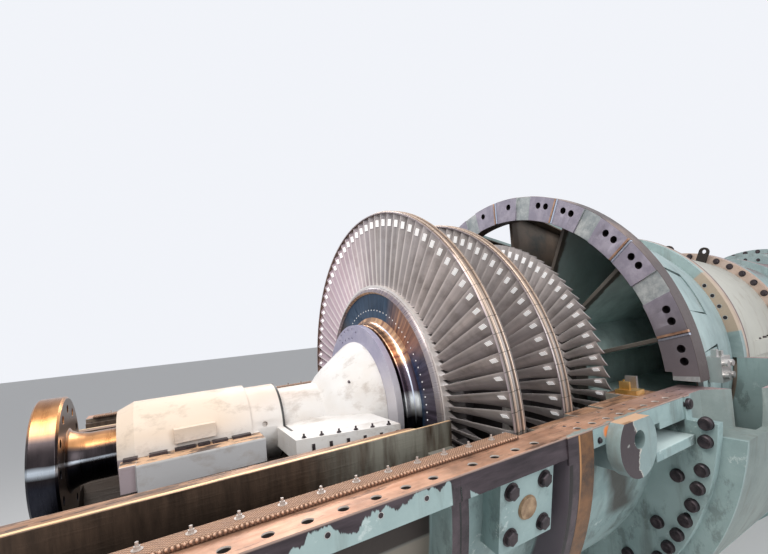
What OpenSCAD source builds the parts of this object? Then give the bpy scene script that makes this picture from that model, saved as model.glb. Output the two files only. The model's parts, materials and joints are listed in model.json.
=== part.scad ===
// Heavy-duty gas turbine, opened at the exhaust end with its rotor in place.
// Millimetres, +Z up, rotor axis along X. The exhaust end is at -X and the compressor at +X.
// Inside the modules x = 0 is the exhaust-side edge of the last blade row and z = 0 the rotor axis.

/* [Overall] */
// height of the rotor axis above the floor
axis_height = 2700; // [2600:10:3200]
// gap left between pieces that seat on each other
seat_gap = 0.2; // [0.1:0.05:0.3]
// running gap between a moving face and a fixed one
running_gap = 10; // [6:1:15]
// radial clearance of the two journals in their bearings
bearing_gap = 0.3; // [0.2:0.05:0.4]

/* [Blade rows] */
// blades in each of the three turbine rows
blade_count = 90; // [80:1:96]
// tip radius of the last row, measured under its shroud
last_tip_r = 1700; // [1660:5:1710]
// tip radius of the middle row, measured under its shroud
mid_tip_r = 1603; // [1560:5:1615]
// tip radius of the first row, which has bare tips
first_tip_r = 1457; // [1400:5:1465]
// root radius of the last row
last_root_r = 1061; // [1040:5:1075]
// root radius of the middle row
mid_root_r = 1080; // [1060:5:1100]
// root radius of the first row
first_root_r = 1100; // [1080:5:1120]
// exhaust-side edge of the middle row
mid_row_x = 573; // [560:1:590]
// exhaust-side edge of the first row
first_row_x = 1302; // [1280:1:1320]
// axial width of the platforms that carry the last row
last_platform_w = 190; // [180:5:200]
// axial width of the platforms that carry the middle row
mid_platform_w = 180; // [170:5:190]
// axial width of the platforms that carry the first row
first_platform_w = 150; // [145:5:165]
// share of the pitch that a blade covers at its tip
tip_cover = 1.1; // [0.9:0.02:1.2]
// stagger of the root section away from the axis
root_stagger = 17; // [12:1:24]
// stagger of the tip section away from the axis
tip_stagger = 57; // [50:1:60]
// thickness of the shroud bands over the last and middle rows
shroud_t = 12; // [10:1:16]
// height of the two seal fins on a shroud band
fin_h = 8; // [6:1:10]

/* [Rotor] */
// radius of the exhaust-end coupling flange
coupling_r = 410; // [390:5:430]
// thickness of the exhaust-end coupling flange
coupling_t = 140; // [120:5:160]
// outer face of the exhaust-end coupling
coupling_x = -2390; // [-2410:5:-2380]
// bolt circle radius of the exhaust-end coupling
coupling_pcd_r = 330; // [310:5:340]
// radius of a coupling bolt hole
coupling_hole_r = 26; // [20:1:32]
// bolt holes in each coupling
coupling_holes = 12; // [10:1:14]
// radius of the exhaust-end journal
journal_r = 156; // [150:1:165]
// radius of the polished drum behind the bearing cone
drum_r = 700; // [680:5:715]
// exhaust-side face of the polished drum
drum_x = -128; // [-135:1:-122]
// radius of the fillet between the drum and the last wheel
drum_fillet_r = 75; // [60:5:85]
// circle radius of the balance holes in the last wheel
balance_pcd_r = 832; // [820:1:845]
// radius of a balance hole
balance_hole_r = 8; // [6:1:10]
// radius of the shaft between turbine and compressor
mid_shaft_r = 420; // [380:5:460]
// radius of the compressor drum
comp_drum_r = 880; // [820:5:920]
// radius of the compressor-end journal
front_journal_r = 210; // [190:5:220]
// radius of the compressor-end coupling flange
front_coupling_r = 380; // [350:5:400]
// bolt circle radius of the compressor-end coupling
front_pcd_r = 310; // [290:5:320]
// outer face of the compressor-end coupling
front_coupling_x = 9750; // [9700:5:9850]

/* [Exhaust end] */
// left end of the exhaust casing and its diffuser
exhaust_x = -2370; // [-2375:5:-2350]
// bore of the exhaust casing and of the turbine shell's first part
casing_bore_r = 1745; // [1745:1:1760]
// wall thickness of the lower casings
casing_wall = 45; // [35:1:55]
// half width of the horizontal joint flange over its outer edges
joint_flange_y = 1960; // [1950:5:1980]
// thickness of the horizontal joint flange
joint_flange_t = 120; // [100:5:140]
// distance of the joint bolt holes from the rotor axis
joint_hole_y = 1900; // [1890:1:1905]
// radius of a joint bolt hole
joint_hole_r = 24; // [18:1:28]
// spacing of the joint bolt holes along the flange
joint_hole_pitch = 145; // [140:5:160]
// thickness of one ring flange of the exhaust joint
ring_flange_t = 50; // [40:1:60]
// joint between the exhaust casing and the exhaust frame
frame_x = -616; // [-625:1:-605]
// joint between the exhaust frame and the turbine shell
shell_x = 225; // [215:1:235]
// outer radius of the diffuser's outer wall
diffuser_outer_r = 1655; // [1640:5:1660]
// outer radius of the diffuser's inner wall
diffuser_inner_r = 1173; // [1160:1:1185]
// thickness of the two diffuser walls
diffuser_wall = 28; // [20:1:34]
// turbine-side end of the diffuser walls
diffuser_end_x = -60; // [-80:5:-50]
// width of the insulation strips on the diffuser's edge
strip_w = 105; // [90:1:115]
// thickness of the insulation strips
strip_t = 24; // [16:1:30]
// side length of the square strut covers
cover_size = 400; // [380:5:410]
// radius at which the strut covers end
cover_r = 1915; // [1890:5:1925]
// radius of a strut cover's bolt circle along each side
cover_bolt_off = 124; // [110:1:140]

/* [Bearing] */
// coupling-side end of the bearing tunnel
tunnel_x = -1990; // [-2010:5:-1960]
// end of the tunnel at the cap section
tunnel_end_x = -1195; // [-1210:1:-1180]
// outer radius of the bearing tunnel
tunnel_r = 312; // [300:1:320]
// half width of the tunnel's joint flange
tunnel_flange_y = 510; // [480:5:540]
// depth of the tunnel's joint flange
tunnel_flange_t = 160; // [140:5:180]
// end of the cap section, where the step cylinder starts
step_x = -955; // [-970:1:-940]
// outer radius of the step cylinder
step_r = 245; // [235:1:255]
// where the cone starts to flare
cone_x = -625; // [-635:5:-615]
// outer radius of the cone at its wide end
cone_r = 555; // [545:5:565]
// wide end of the cone, where the front ring seats
cone_end_x = -215; // [-222:1:-210]
// outer radius of the cone's front ring
front_ring_r = 705; // [690:1:720]
// thickness of the cone's front ring
front_ring_t = 55; // [45:1:62]
// depth of the joint flange along the cone
cone_flange_t = 150; // [120:5:160]

/* [Turbine shell and wrapper] */
// ring flange between the turbine shell and the wrapper casing
wrapper_x = 1530; // [1520:5:1540]
// outer radius of that ring flange
wrapper_flange_r = 2170; // [2140:5:2190]
// thickness of each half of that ring flange
wrapper_flange_t = 85; // [70:5:95]
// outer radius of the wrapper casing
wrapper_r = 2312; // [2290:1:2330]
// half width of the wrapper's joint flange
wrapper_flange_y = 2430; // [2400:5:2460]
// depth of the wrapper's joint flange
wrapper_joint_t = 280; // [260:5:300]
// compressor-side end of the wrapper casing
wrapper_end_x = 3655; // [3640:5:3670]
// radius of a lifting lug
lug_r = 201; // [190:1:210]
// radius of a lifting lug's hole
lug_hole_r = 57; // [45:1:60]
// position of the lifting lugs along the shell
lug_x = 685; // [670:5:700]
// thickness of a lifting lug beyond the joint flange
lug_t = 90; // [70:5:110]

/* [Support ring and discharge frame] */
// exhaust-side face of the support ring
ring_x = 1700; // [1690:5:1710]
// thickness of the support ring
ring_t = 150; // [130:5:160]
// outer radius of the support ring
ring_outer_r = 1980; // [1965:5:1990]
// radial width of the support ring
ring_band = 249; // [235:1:260]
// number of combustor segments round the machine
segments = 14; // [12:2:16]
// distance of the hole pairs from the support ring's outer edge
ring_hole_inset = 92; // [80:1:105]
// radius of a hole in the support ring
ring_hole_r = 32; // [26:1:36]
// width of the radial slot in every pad
ring_slot_w = 44; // [30:2:50]
// depth of the unmachined recesses between the pads
recess_t = 14; // [8:1:20]
// step from the support ring's outer edge in to the discharge frame
frame_step = 50; // [30:5:70]
// outer radius of the discharge frame at its compressor end
frame_end_r = 1480; // [1460:5:1490]
// wall thickness of the discharge frame
frame_wall = 50; // [40:1:60]
// outer radius of the inner barrel
barrel_r = 800; // [780:5:820]
// wall thickness of the inner barrel
barrel_wall = 40; // [30:1:50]
// thickness of a web between the inner barrel and the discharge frame
web_t = 40; // [30:2:50]

/* [Compressor casings] */
// height of the flange at the discharge casing's turbine end above the discharge frame
flange_a_h = 126; // [110:1:140]
// joint between the discharge casing and the compressor casing
flange_b_x = 5740; // [5720:5:5760]
// outer radius of the flange at the discharge casing's compressor end
flange_b_r = 1420; // [1400:5:1440]
// joint between the compressor casing and the inlet casing
flange_c_x = 8500; // [8450:5:8550]
// outer radius of the flange at the inlet casing
flange_c_r = 1450; // [1440:5:1470]
// outer radius of the compressor casing's wall
comp_casing_r = 1230; // [1210:5:1250]
// bore radius of the discharge casing and the compressor casing
comp_bore_r = 1020; // [1000:5:1040]
// position of the compressor casing's stiffening ring, which stands on the support
comp_ring_x = 7190; // [7150:5:7250]
// height of the compressor casing's stiffening ring
comp_ring_h = 110; // [90:5:130]
// compressor-end face of the inlet casing
inlet_end_x = 9150; // [9100:5:9200]
// outer radius of the inlet casing's wide end
inlet_r = 1550; // [1530:5:1580]
// radial depth of the inlet passage's outer wall
inlet_wall = 130; // [110:5:150]
// outer radius of the hub inside the inlet casing
inlet_hub_r = 700; // [680:5:720]
// outer radius of the front bearing's housing
inlet_bearing_r = 470; // [450:5:480]

/* [Supports] */
// thickness of the support plates under the casings
leg_t = 120; // [90:5:140]
// distance of the exhaust legs from the middle
leg_y = 1150; // [1100:10:1200]
// distance of the compressor support's feet from the middle
comp_leg_y = 620; // [600:10:660]
// distance of the inlet supports from the middle
inlet_leg_y = 800; // [760:10:840]
// width of a leg's foot
foot_w = 620; // [560:10:680]
// thickness of a leg's foot
foot_t = 60; // [50:5:80]
// radius of an anchor bolt hole in a foot
anchor_hole_r = 22; // [18:1:26]

/* [Hidden] */
$fn = 180;
pitch_a = 360 / blade_count;
seg_a = 360 / segments;
machine_mid_x = (coupling_x + front_coupling_x) / 2;
casing_outer_r = casing_bore_r + casing_wall;
cap_r = tunnel_r - 22;
cover_z = -320;
cover_a = asin(-cover_z / cover_r);
cover_mid_x = -138;
shell_end_x = wrapper_x;
frame_end_x = wrapper_end_x;
wrapper_bore_r = wrapper_r - 60;
bulkhead_end_x = ring_x + ring_t;
ring_inner_r = ring_outer_r - ring_band;
ring_hole_pcd_r = ring_outer_r - ring_hole_inset;
frame_r = ring_outer_r - frame_step;
flange_a_r = frame_end_r + flange_a_h;
discharge_a_r = flange_a_r - 106;
discharge_b_r = flange_b_r - 120;
comp_bar_r = flange_b_r - 220;
shroud_w = 96;
wheel_face_x = -28;
platform_x = -25;
flange_pcd_r = wrapper_flange_r - 70;
leg_foot_l = 460;
diffuser_drop = 30;
teal = [0.62, 0.72, 0.71];
mauve = [0.55, 0.50, 0.56];
steel = [0.62, 0.60, 0.58];
white_paint = [0.88, 0.86, 0.80];
copper = [0.62, 0.45, 0.36];
polished = [0.72, 0.66, 0.60];
blade_steel = [0.50, 0.47, 0.44];
dark = [0.22, 0.20, 0.20];

// Puts the machine's own axes into the frame: feet on z = 0, length centred on x = 0.
module placed() {
    translate([-machine_mid_x, 0, axis_height]) children();
}

// Turns a profile of [x, radius] points round the rotor axis.
module lathe(pts) {
    rotate([0, 90, 0])
        rotate_extrude()
            polygon([for (p = pts) [p[1], p[0]]]);
}

// The same, over the lower half or the upper half only.
module lathe_half(pts, upper = false) {
    rotate([0, 90, 0])
        rotate([0, 0, upper ? 90 : -90])
            rotate_extrude(angle = 180)
                polygon([for (p = pts) [p[1], p[0]]]);
}

// A plain ring of rectangular section, in profile points.
function band(x0, x1, r0, r1) = [[x0, r0], [x1, r0], [x1, r1], [x0, r1]];

// A cylinder along X.
module rod_x(x0, x1, r) {
    translate([x0, 0, 0])
        rotate([0, 90, 0])
            cylinder(r = r, h = x1 - x0);
}

// A box given by its lower and upper corners.
module block(a, b) {
    translate(a) cube([b[0] - a[0], b[1] - a[1], b[2] - a[2]]);
}

// Children on both sides of the machine.
module both_sides() {
    children();
    mirror([0, 1, 0]) children();
}

// Children repeated round the rotor axis, n times from angle a0 in steps of da.
module round_axis(n, a0, da) {
    for (i = [0 : n - 1])
        rotate([a0 + i * da, 0, 0])
            children();
}

// Holes through a ring flange, on the circle of radius pcd between x0 and x1.
module flange_holes(n, a0, da, pcd, r, x0, x1) {
    round_axis(n, a0, da)
        translate([0, 0, pcd])
            rod_x(x0, x1, r);
}

// Bars of the horizontal joint on both sides of a half casing, below the joint plane.
module joint_bars(x0, x1, y0, y1, t, upper = false) {
    both_sides()
        block([x0, y0, upper ? 0 : -t], [x1, y1, upper ? t : 0]);
}

// Bolt holes down through those bars, n from x0 towards +X, or towards -X with dir = -1.
module joint_holes(x0, n, dir = 1) {
    both_sides()
        for (i = [0 : n - 1])
            translate([x0 + dir * i * joint_hole_pitch, joint_hole_y, -joint_flange_t - 5])
                cylinder(r = joint_hole_r, h = joint_flange_t + 10);
}

// Lower half of the exhaust casing, open at the top, with its joint bars and end flanges.
module exhaust_casing() {
    color(teal) placed() difference() {
        union() {
            lathe_half(band(exhaust_x, frame_x, casing_bore_r, casing_outer_r));
            lathe_half(band(frame_x - ring_flange_t, frame_x, casing_bore_r, joint_flange_y - 10));
            lathe_half(band(exhaust_x, exhaust_x + ring_flange_t, casing_bore_r, joint_flange_y - 10));
            joint_bars(exhaust_x, frame_x, casing_bore_r + casing_wall / 2, joint_flange_y,
                       joint_flange_t);
        }
        joint_holes(frame_x - 106, 11, -1);
    }
}

// Lower half of the exhaust frame, between two ring flanges, round the last blade row.
module exhaust_frame() {
    color(teal) placed() difference() {
        union() {
            lathe_half(band(frame_x, shell_x, casing_bore_r, casing_outer_r));
            lathe_half(band(frame_x, frame_x + ring_flange_t, casing_bore_r, joint_flange_y - 10));
            lathe_half(band(shell_x - 90, shell_x, casing_bore_r, joint_flange_y + 10));
            joint_bars(frame_x, shell_x, casing_bore_r + casing_wall / 2, joint_flange_y,
                       joint_flange_t);
        }
        joint_holes(frame_x + 127, 4);
    }
}

// Outer wall of the exhaust diffuser with the end ring that seats it in the casing.
module diffuser_outer() {
    color(dark) placed() difference() {
        union() {
            lathe_half(band(exhaust_x + 10, diffuser_end_x, diffuser_outer_r - diffuser_wall,
                            diffuser_outer_r));
            for (x = [exhaust_x + 10, frame_x - 300])
                lathe_half(band(x, x + 40, diffuser_outer_r - 5, casing_bore_r - seat_gap));
        }
        block([exhaust_x, -casing_bore_r, -diffuser_drop], [0, casing_bore_r, 10]);
    }
}

// Inner wall of the diffuser, its end plate round the shaft and its bright top flange.
module diffuser_inner() {
    inner = diffuser_inner_r - diffuser_wall;
    color(copper) placed() {
        lathe_half(band(exhaust_x + 10, diffuser_end_x, inner, diffuser_inner_r));
        difference() {
            lathe_half(band(exhaust_x + 10, exhaust_x + 40, coupling_r + 120, inner + 5));
            block([exhaust_x, -inner - 20, -450], [exhaust_x + 50, inner + 20, 10]);
        }
        both_sides()
            translate([0, 0, -30])
                linear_extrude(height = 30)
                    polygon([[exhaust_x + 10, inner - 125], [diffuser_end_x - 330, inner - 60],
                             [diffuser_end_x - 285, inner - 35], [diffuser_end_x - 270, inner + 10],
                             [exhaust_x + 10, inner + 10]]);
    }
}

// Struts that carry the bearing through the exhaust annulus, in the lower half.
module diffuser_struts() {
    color(steel) placed()
        for (a = [cover_a, 50, 90, 130, 180 - cover_a])
            rotate([-a, 0, 0])
                intersection() {
                    translate([cover_mid_x - 130, 0, -26])
                        cube([230, casing_bore_r, 52]);
                    difference() {
                        rod_x(cover_mid_x - 140, diffuser_end_x - 10,
                              diffuser_outer_r - diffuser_wall - seat_gap);
                        rod_x(cover_mid_x - 150, diffuser_end_x, diffuser_inner_r + seat_gap);
                    }
                }
}

// Studded insulation strips that lie on the casings' top face and cover the diffuser's edge.
module insulation_strips() {
    y0 = casing_bore_r - 50;
    color(copper) placed()
        both_sides()
            block([exhaust_x + 60, y0, seat_gap], [diffuser_end_x, y0 + strip_w, strip_t]);
}

// Square covers over the strut ends, each with a plug in the middle of four bolts.
module strut_covers() {
    h = cover_size / 2;
    color(teal) placed()
        for (a = [cover_a, 50, 90, 130, 180 - cover_a])
            rotate([-a, 0, 0])
                difference() {
                    translate([cover_mid_x - h, 0, -h])
                        cube([cover_size, cover_r, cover_size]);
                    rod_x(cover_mid_x - h - 1, cover_mid_x + h + 1, casing_outer_r + seat_gap);
                    rotate([a, 0, 0])
                        block([cover_mid_x - h - 1, -cover_r - 50, -joint_flange_t - running_gap],
                              [cover_mid_x + h + 1, cover_r + 50, cover_r]);
                    for (sx = [-1, 1], sz = [-1, 1])
                        translate([cover_mid_x + sx * cover_bolt_off, cover_r - 40,
                                   sz * cover_bolt_off])
                            rotate([-90, 0, 0])
                                cylinder(r = 20, h = 50);
                }
}

// Cross plates that hold the bearing tunnel inside the diffuser's inner wall.
module bearing_pedestal() {
    color(steel) placed() difference() {
        for (x = [tunnel_x + 120, tunnel_end_x - 100])
            lathe_half(band(x, x + 60, tunnel_r + seat_gap,
                            diffuser_inner_r - diffuser_wall - seat_gap));
        block([exhaust_x, -1200, -tunnel_flange_t - 2 * seat_gap], [0, 1200, 10]);
    }
}

// White bearing tunnel in two halves with its joint flange, and the cap section behind it.
module bearing_tunnel() {
    bore = journal_r + bearing_gap;
    shape = [[tunnel_x, bore], [tunnel_end_x, bore], [tunnel_end_x, tunnel_r],
             [tunnel_x + 95, tunnel_r], [tunnel_x, tunnel_r - 47]];
    color(white_paint) placed() {
        lathe_half(shape, true);
        translate([0, 0, -seat_gap]) difference() {
            union() {
                lathe_half(shape);
                joint_bars(tunnel_x + 105, tunnel_end_x + 46, tunnel_r - 40, tunnel_flange_y,
                           tunnel_flange_t);
            }
            rod_x(tunnel_end_x, tunnel_end_x + 50, cap_r + 2 * seat_gap);
        }
        difference() {
            lathe(band(tunnel_end_x + seat_gap, step_x, bore, cap_r));
            for (a = [8, 172])
                rotate([a, 0, 0])
                    translate([tunnel_end_x + 95, cap_r - 25, 0])
                        rotate([-90, 0, 0])
                            cylinder(r = 20, h = 40);
        }
    }
}

// Raised boxes on the tunnel's flanks and the blocks at the end of its joint flange.
module tunnel_side_boxes() {
    color(white_paint) placed()
        both_sides() {
            difference() {
                block([tunnel_x + 310, 200, 40], [tunnel_x + 560, tunnel_r + 30, 135]);
                rod_x(tunnel_x, tunnel_end_x, tunnel_r + seat_gap);
            }
            block([tunnel_x + 20, tunnel_r + 30, -tunnel_flange_t],
                  [tunnel_x + 105 - seat_gap, tunnel_flange_y - 30, -seat_gap]);
        }
}

// Outer outline of the step cylinder and the cone that flares from it.
cone_outline = [[step_x + seat_gap, step_r], [cone_x, step_r], [cone_x + 22, step_r + 18],
                [cone_x + 70, step_r + 70], [cone_x + 125, step_r + 118],
                [cone_end_x - 90, cone_r - 50], [cone_end_x - 35, cone_r - 12],
                [cone_end_x, cone_r]];

// Step cylinder and white cone, hollow round the shaft.
module bearing_cone() {
    bore = journal_r + running_gap;
    color(white_paint) placed()
        lathe(concat(cone_outline,
                     [[cone_end_x, cone_r - 45], [cone_end_x - 90, cone_r - 110],
                      [cone_x + 125, step_r + 45], [cone_x + 30, bore],
                      [step_x + seat_gap, bore]]));
}

// Flat joint flange that runs along both sides of the cone, with its row of stud holes.
module cone_joint_flange() {
    x0 = step_x - 60;
    x1 = cone_end_x - 120;
    color(white_paint) placed() difference() {
        both_sides()
            translate([0, 0, -cone_flange_t])
                linear_extrude(height = cone_flange_t)
                    polygon([[x0, 0], [x0, 765], [x1, 950], [x1, 0]]);
        lathe(concat([[step_x - 100, 0], [step_x - 100, cap_r + seat_gap],
                      [step_x + seat_gap, cap_r + seat_gap]],
                     [for (p = cone_outline) [p[0], p[1] + 2 * seat_gap]],
                     [[cone_end_x, 0]]));
        both_sides()
            for (i = [0 : 5])
                translate([step_x + i * 110, 745 + i * 32.7, -60])
                    cylinder(r = 12, h = 70);
    }
}

// Flat ring that closes the cone next to the polished drum, with holes in an oval at the top.
module cone_front_ring() {
    color(mauve) placed() difference() {
        lathe(band(cone_end_x + seat_gap, cone_end_x + front_ring_t, journal_r + 30, front_ring_r));
        for (h = [[-26, 682], [-18, 678], [-10, 671], [-2, 670], [5, 640], [-31, 655], [-27, 607],
                  [-19, 596], [-11, 589], [-4, 588]])
            flange_holes(1, h[0], 0, h[1], 11, cone_end_x - 5, cone_end_x + front_ring_t + 5);
    }
}

// Lower half of the turbine shell with its joint bars and both ring flanges.
module turbine_shell() {
    color(teal) placed() difference() {
        union() {
            lathe_half(band(shell_x, shell_end_x, casing_bore_r, casing_outer_r));
            lathe_half(band(shell_x, shell_x + 135, casing_bore_r, joint_flange_y + 10));
            difference() {
                lathe_half(band(shell_end_x - wrapper_flange_t, shell_end_x, casing_bore_r,
                                wrapper_flange_r));
                both_sides()
                    block([shell_end_x - 200, joint_flange_y + 10, -joint_flange_t - 50],
                          [shell_end_x + 10, wrapper_flange_r + 10, 10]);
            }
            joint_bars(shell_x, shell_end_x, casing_bore_r + casing_wall / 2, joint_flange_y,
                       joint_flange_t);
            joint_bars(lug_x + lug_r + 215, shell_end_x, casing_bore_r + casing_wall / 2,
                       joint_flange_y, joint_flange_t + 45);
        }
        joint_holes(shell_x + 90, 8);
        flange_holes(11, 98.4, 16.32, flange_pcd_r, 26, shell_end_x - wrapper_flange_t - 5,
                     shell_end_x + 5);
    }
}

// D-shaped lugs on the shell's flanks that the machine is lifted by.
module lifting_lugs() {
    y0 = joint_flange_y + seat_gap;
    color(teal) placed()
        both_sides()
            difference() {
                union() {
                    translate([lug_x, y0, -lug_r + 52])
                        rotate([-90, 0, 0])
                            cylinder(r = lug_r, h = lug_t);
                    block([lug_x - 150, casing_outer_r - 45, -joint_flange_t - 170],
                          [lug_x + 150, y0 + 10, -joint_flange_t - seat_gap]);
                }
                rod_x(lug_x - 200, lug_x + 200, casing_outer_r + seat_gap);
                block([lug_x - lug_r - 5, y0 - 1, -2], [lug_x + lug_r + 5, y0 + lug_t + 1, 100]);
                translate([lug_x + 10, y0 - 300, -123])
                    rotate([-90, 0, 0])
                        cylinder(r = lug_hole_r, h = 500);
            }
}

// Ledges on the shell's flanks between the lugs and the wrapper flange.
module shell_ledges() {
    color(teal) placed()
        both_sides()
            difference() {
                block([lug_x + lug_r + 30, casing_outer_r - 60, -joint_flange_t - 210],
                      [shell_end_x - wrapper_flange_t - seat_gap, joint_flange_y + 60,
                       -joint_flange_t - 145]);
                rod_x(lug_x, shell_end_x, casing_outer_r + seat_gap);
            }
}

// Lower halves of the stator rings, which hug the blade tips inside the shell.
module stator_rings() {
    top = casing_bore_r - seat_gap;
    color(steel) placed() {
        lathe_half(band(shroud_w + 40, mid_row_x - 40, last_tip_r - 10, top));
        lathe_half(band(mid_row_x - 30, mid_row_x + 220, mid_tip_r + shroud_t + fin_h + running_gap,
                        top));
        lathe_half(band(mid_row_x + 260, first_row_x - 40, mid_tip_r + 10, top));
        lathe_half(band(first_row_x - 30, shell_end_x - 20, first_tip_r + running_gap, top));
    }
}

// Lower half of the big wrapper casing. Its joint flange widens behind the bulkhead that the
// support ring stands on.
module wrapper_casing() {
    cut_z = -wrapper_joint_t;
    color(teal) placed() difference() {
        union() {
            difference() {
                union() {
                    lathe_half(band(shell_end_x + seat_gap, wrapper_end_x - 80, wrapper_bore_r - 5,
                                    wrapper_r));
                    lathe_half(band(shell_end_x + seat_gap, bulkhead_end_x, ring_inner_r + 15,
                                    wrapper_bore_r + 10));
                }
                block([shell_end_x - 10, -wrapper_r - 10, cut_z], [wrapper_end_x, wrapper_r + 10, 10]);
            }
            both_sides()
                translate([0, 0, cut_z])
                    linear_extrude(height = wrapper_joint_t)
                        polygon([[shell_end_x + seat_gap, 1200], [shell_end_x + seat_gap, joint_flange_y],
                                 [ring_x + 12, joint_flange_y], [ring_x + 300, wrapper_bore_r + 24],
                                 [ring_x + 450, wrapper_flange_y], [wrapper_end_x, wrapper_flange_y],
                                 [wrapper_end_x, 1200]]);
            lathe_half(band(wrapper_end_x - 80, wrapper_end_x - seat_gap, frame_end_r + 60,
                            wrapper_r + 40));
        }
        lathe([[shell_end_x - 10, 0], [shell_end_x - 10, ring_inner_r + 15],
               [bulkhead_end_x, ring_inner_r + 15], [bulkhead_end_x, wrapper_bore_r],
               [wrapper_end_x - 80, wrapper_bore_r], [wrapper_end_x - 80, frame_end_r + 60],
               [wrapper_end_x + 10, frame_end_r + 60], [wrapper_end_x + 10, 0]]);
    }
}

// Upper half of the support ring. Bolted pads alternate with recesses round it, and a radial
// slot cuts every pad in two.
module support_ring() {
    color(mauve) placed() difference() {
        lathe_half(band(ring_x, ring_x + ring_t, ring_inner_r, ring_outer_r), true);
        block([ring_x - 5, -ring_outer_r - 5, -5], [ring_x + ring_t + 5, ring_outer_r + 5, 60]);
        block([ring_x - 5, -ring_inner_r - 50, 50], [ring_x + ring_t + 5, ring_inner_r + 50, 125]);
        for (i = [0 : segments / 2 - 1])
            rotate([-90 + seg_a / 2 + i * seg_a, 0, 0])
                block([ring_x - 5, -ring_slot_w / 2, ring_inner_r - 30],
                      [ring_x + 30, ring_slot_w / 2, ring_outer_r + 30]);
        for (i = [1 : segments / 2 - 1])
            rotate([-90 + i * seg_a, 0, 0])
                block([ring_x - 5, -95, ring_inner_r - 30], [ring_x + recess_t, 95, ring_outer_r + 30]);
        for (i = [0 : segments / 2 - 1], a = i == (segments / 2 - 1) / 2 ? [6.4] : [3.4, 6.4])
            rotate([-90 + seg_a / 2 + i * seg_a, 0, 0])
                flange_holes(2, -a, 2 * a, ring_hole_pcd_r, ring_hole_r, ring_x - 5, ring_x + 90);
    }
}

// Conical discharge frame behind the ring, with a window for every combustor.
module discharge_frame() {
    x0 = ring_x + ring_t + seat_gap;
    x1 = frame_end_x - seat_gap;
    color(teal) placed() {
        difference() {
            lathe([[x0, frame_r - frame_wall], [x1, frame_end_r - frame_wall], [x1, frame_end_r],
                   [x0, frame_r]]);
            round_axis(segments, seg_a / 2, seg_a)
                block([x0 + 190, -235, frame_end_r - 300], [x0 + 950, 235, frame_r + 100]);
        }
        lathe_half(band(x1 - 70, x1, frame_end_r - 5, flange_a_r), true);
    }
}

// Webs between the inner barrel and the discharge frame, one beside every window.
module frame_webs() {
    x0 = ring_x + ring_t + 80;
    x1 = frame_end_x - 80;
    slope = (frame_end_r - frame_r) / (frame_end_x - ring_x - ring_t);
    top = frame_r - frame_wall - 2 * seat_gap;
    color(teal) placed()
        round_axis(segments, 0, seg_a)
            rotate([90, 0, 0])
                translate([0, 0, -web_t / 2])
                    linear_extrude(height = web_t)
                        polygon([[x0, barrel_r + seat_gap], [x1, barrel_r + seat_gap],
                                 [x1, top + slope * (x1 - x0 + 80)], [x0, top + slope * 80]]);
}

// Inner barrel round the shaft, between the first wheel and the compressor.
module inner_barrel() {
    color(teal) placed()
        lathe(band(ring_x + 10, frame_end_x - seat_gap, barrel_r - barrel_wall, barrel_r));
}

// Discharge casing between the flanges A and B, both halves on, with its narrowing cream wall.
module discharge_casing() {
    x0 = wrapper_end_x;
    x1 = flange_b_x - seat_gap;
    color(white_paint) placed() difference() {
        union() {
            lathe([[x0, comp_bore_r], [x1, comp_bore_r], [x1, flange_b_r], [x1 - 90, flange_b_r],
                   [x1 - 90, discharge_b_r], [x0 + 75, discharge_a_r], [x0 + 75, flange_a_r],
                   [x0, flange_a_r]]);
            joint_bars(x0 + 40, x1 - 40, comp_bar_r, flange_b_r + 10, 90);
            joint_bars(x0 + 40, x1 - 40, comp_bar_r, flange_b_r + 10, 90, true);
        }
        flange_holes(9, -72, 6.5, flange_a_r - 100, 16, x0 - 5, x0 + 60);
        flange_holes(10, -72, 8, flange_b_r - 94, 38, x1 - 200, x1 + 5);
    }
}

// Compressor casing, both halves on, with stiffening rings.
module compressor_casing() {
    x0 = flange_b_x;
    x1 = flange_c_x - seat_gap;
    color(teal) placed() {
        lathe([[x0, comp_bore_r], [x1, comp_bore_r], [x1, flange_c_r - 60],
               [x1 - 80, flange_c_r - 60], [x1 - 80, comp_casing_r + 30],
               [comp_ring_x + 50, comp_casing_r + 30],
               [comp_ring_x + 50, comp_casing_r + comp_ring_h],
               [comp_ring_x - 50, comp_casing_r + comp_ring_h], [comp_ring_x - 50, comp_casing_r],
               [x0 + 90, comp_casing_r], [x0 + 90, flange_b_r],
               [x0, flange_b_r]]);
        joint_bars(x0 + 95, x1 - 85, comp_casing_r - 60, flange_b_r + 10, 90);
    }
}

// Flared inlet casing with its inner hub and the ring of struts between them.
module inlet_casing() {
    x0 = flange_c_x;
    x1 = inlet_end_x;
    color(teal) placed() {
        lathe([[x0, flange_c_r - inlet_wall], [x0 + 80, flange_c_r - inlet_wall],
               [x1, inlet_r - inlet_wall],
               [x1, inlet_r], [x1 - 60, inlet_r], [x1 - 60, inlet_r - 90],
               [x0 + 80, flange_c_r - 60], [x0 + 80, flange_c_r], [x0, flange_c_r]]);
        lathe(band(x0 + 30, x1, inlet_hub_r - 80, inlet_hub_r));
    }
}

// Struts that hold the inlet casing's hub.
module inlet_struts() {
    x0 = flange_c_x + 120;
    x1 = inlet_end_x - 80;
    slope = (inlet_r - flange_c_r) / (inlet_end_x - flange_c_x - 80);
    color(teal) placed()
        round_axis(8, 22.5, 45)
            rotate([90, 0, 0])
                translate([0, 0, -25])
                    linear_extrude(height = 50)
                        polygon([[x0, inlet_hub_r + seat_gap], [x1, inlet_hub_r + seat_gap],
                                 [x1, inlet_r - inlet_wall - 2 * seat_gap - slope * 80],
                                 [x0, flange_c_r - inlet_wall - 2 * seat_gap + slope * 40]]);
}

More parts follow.
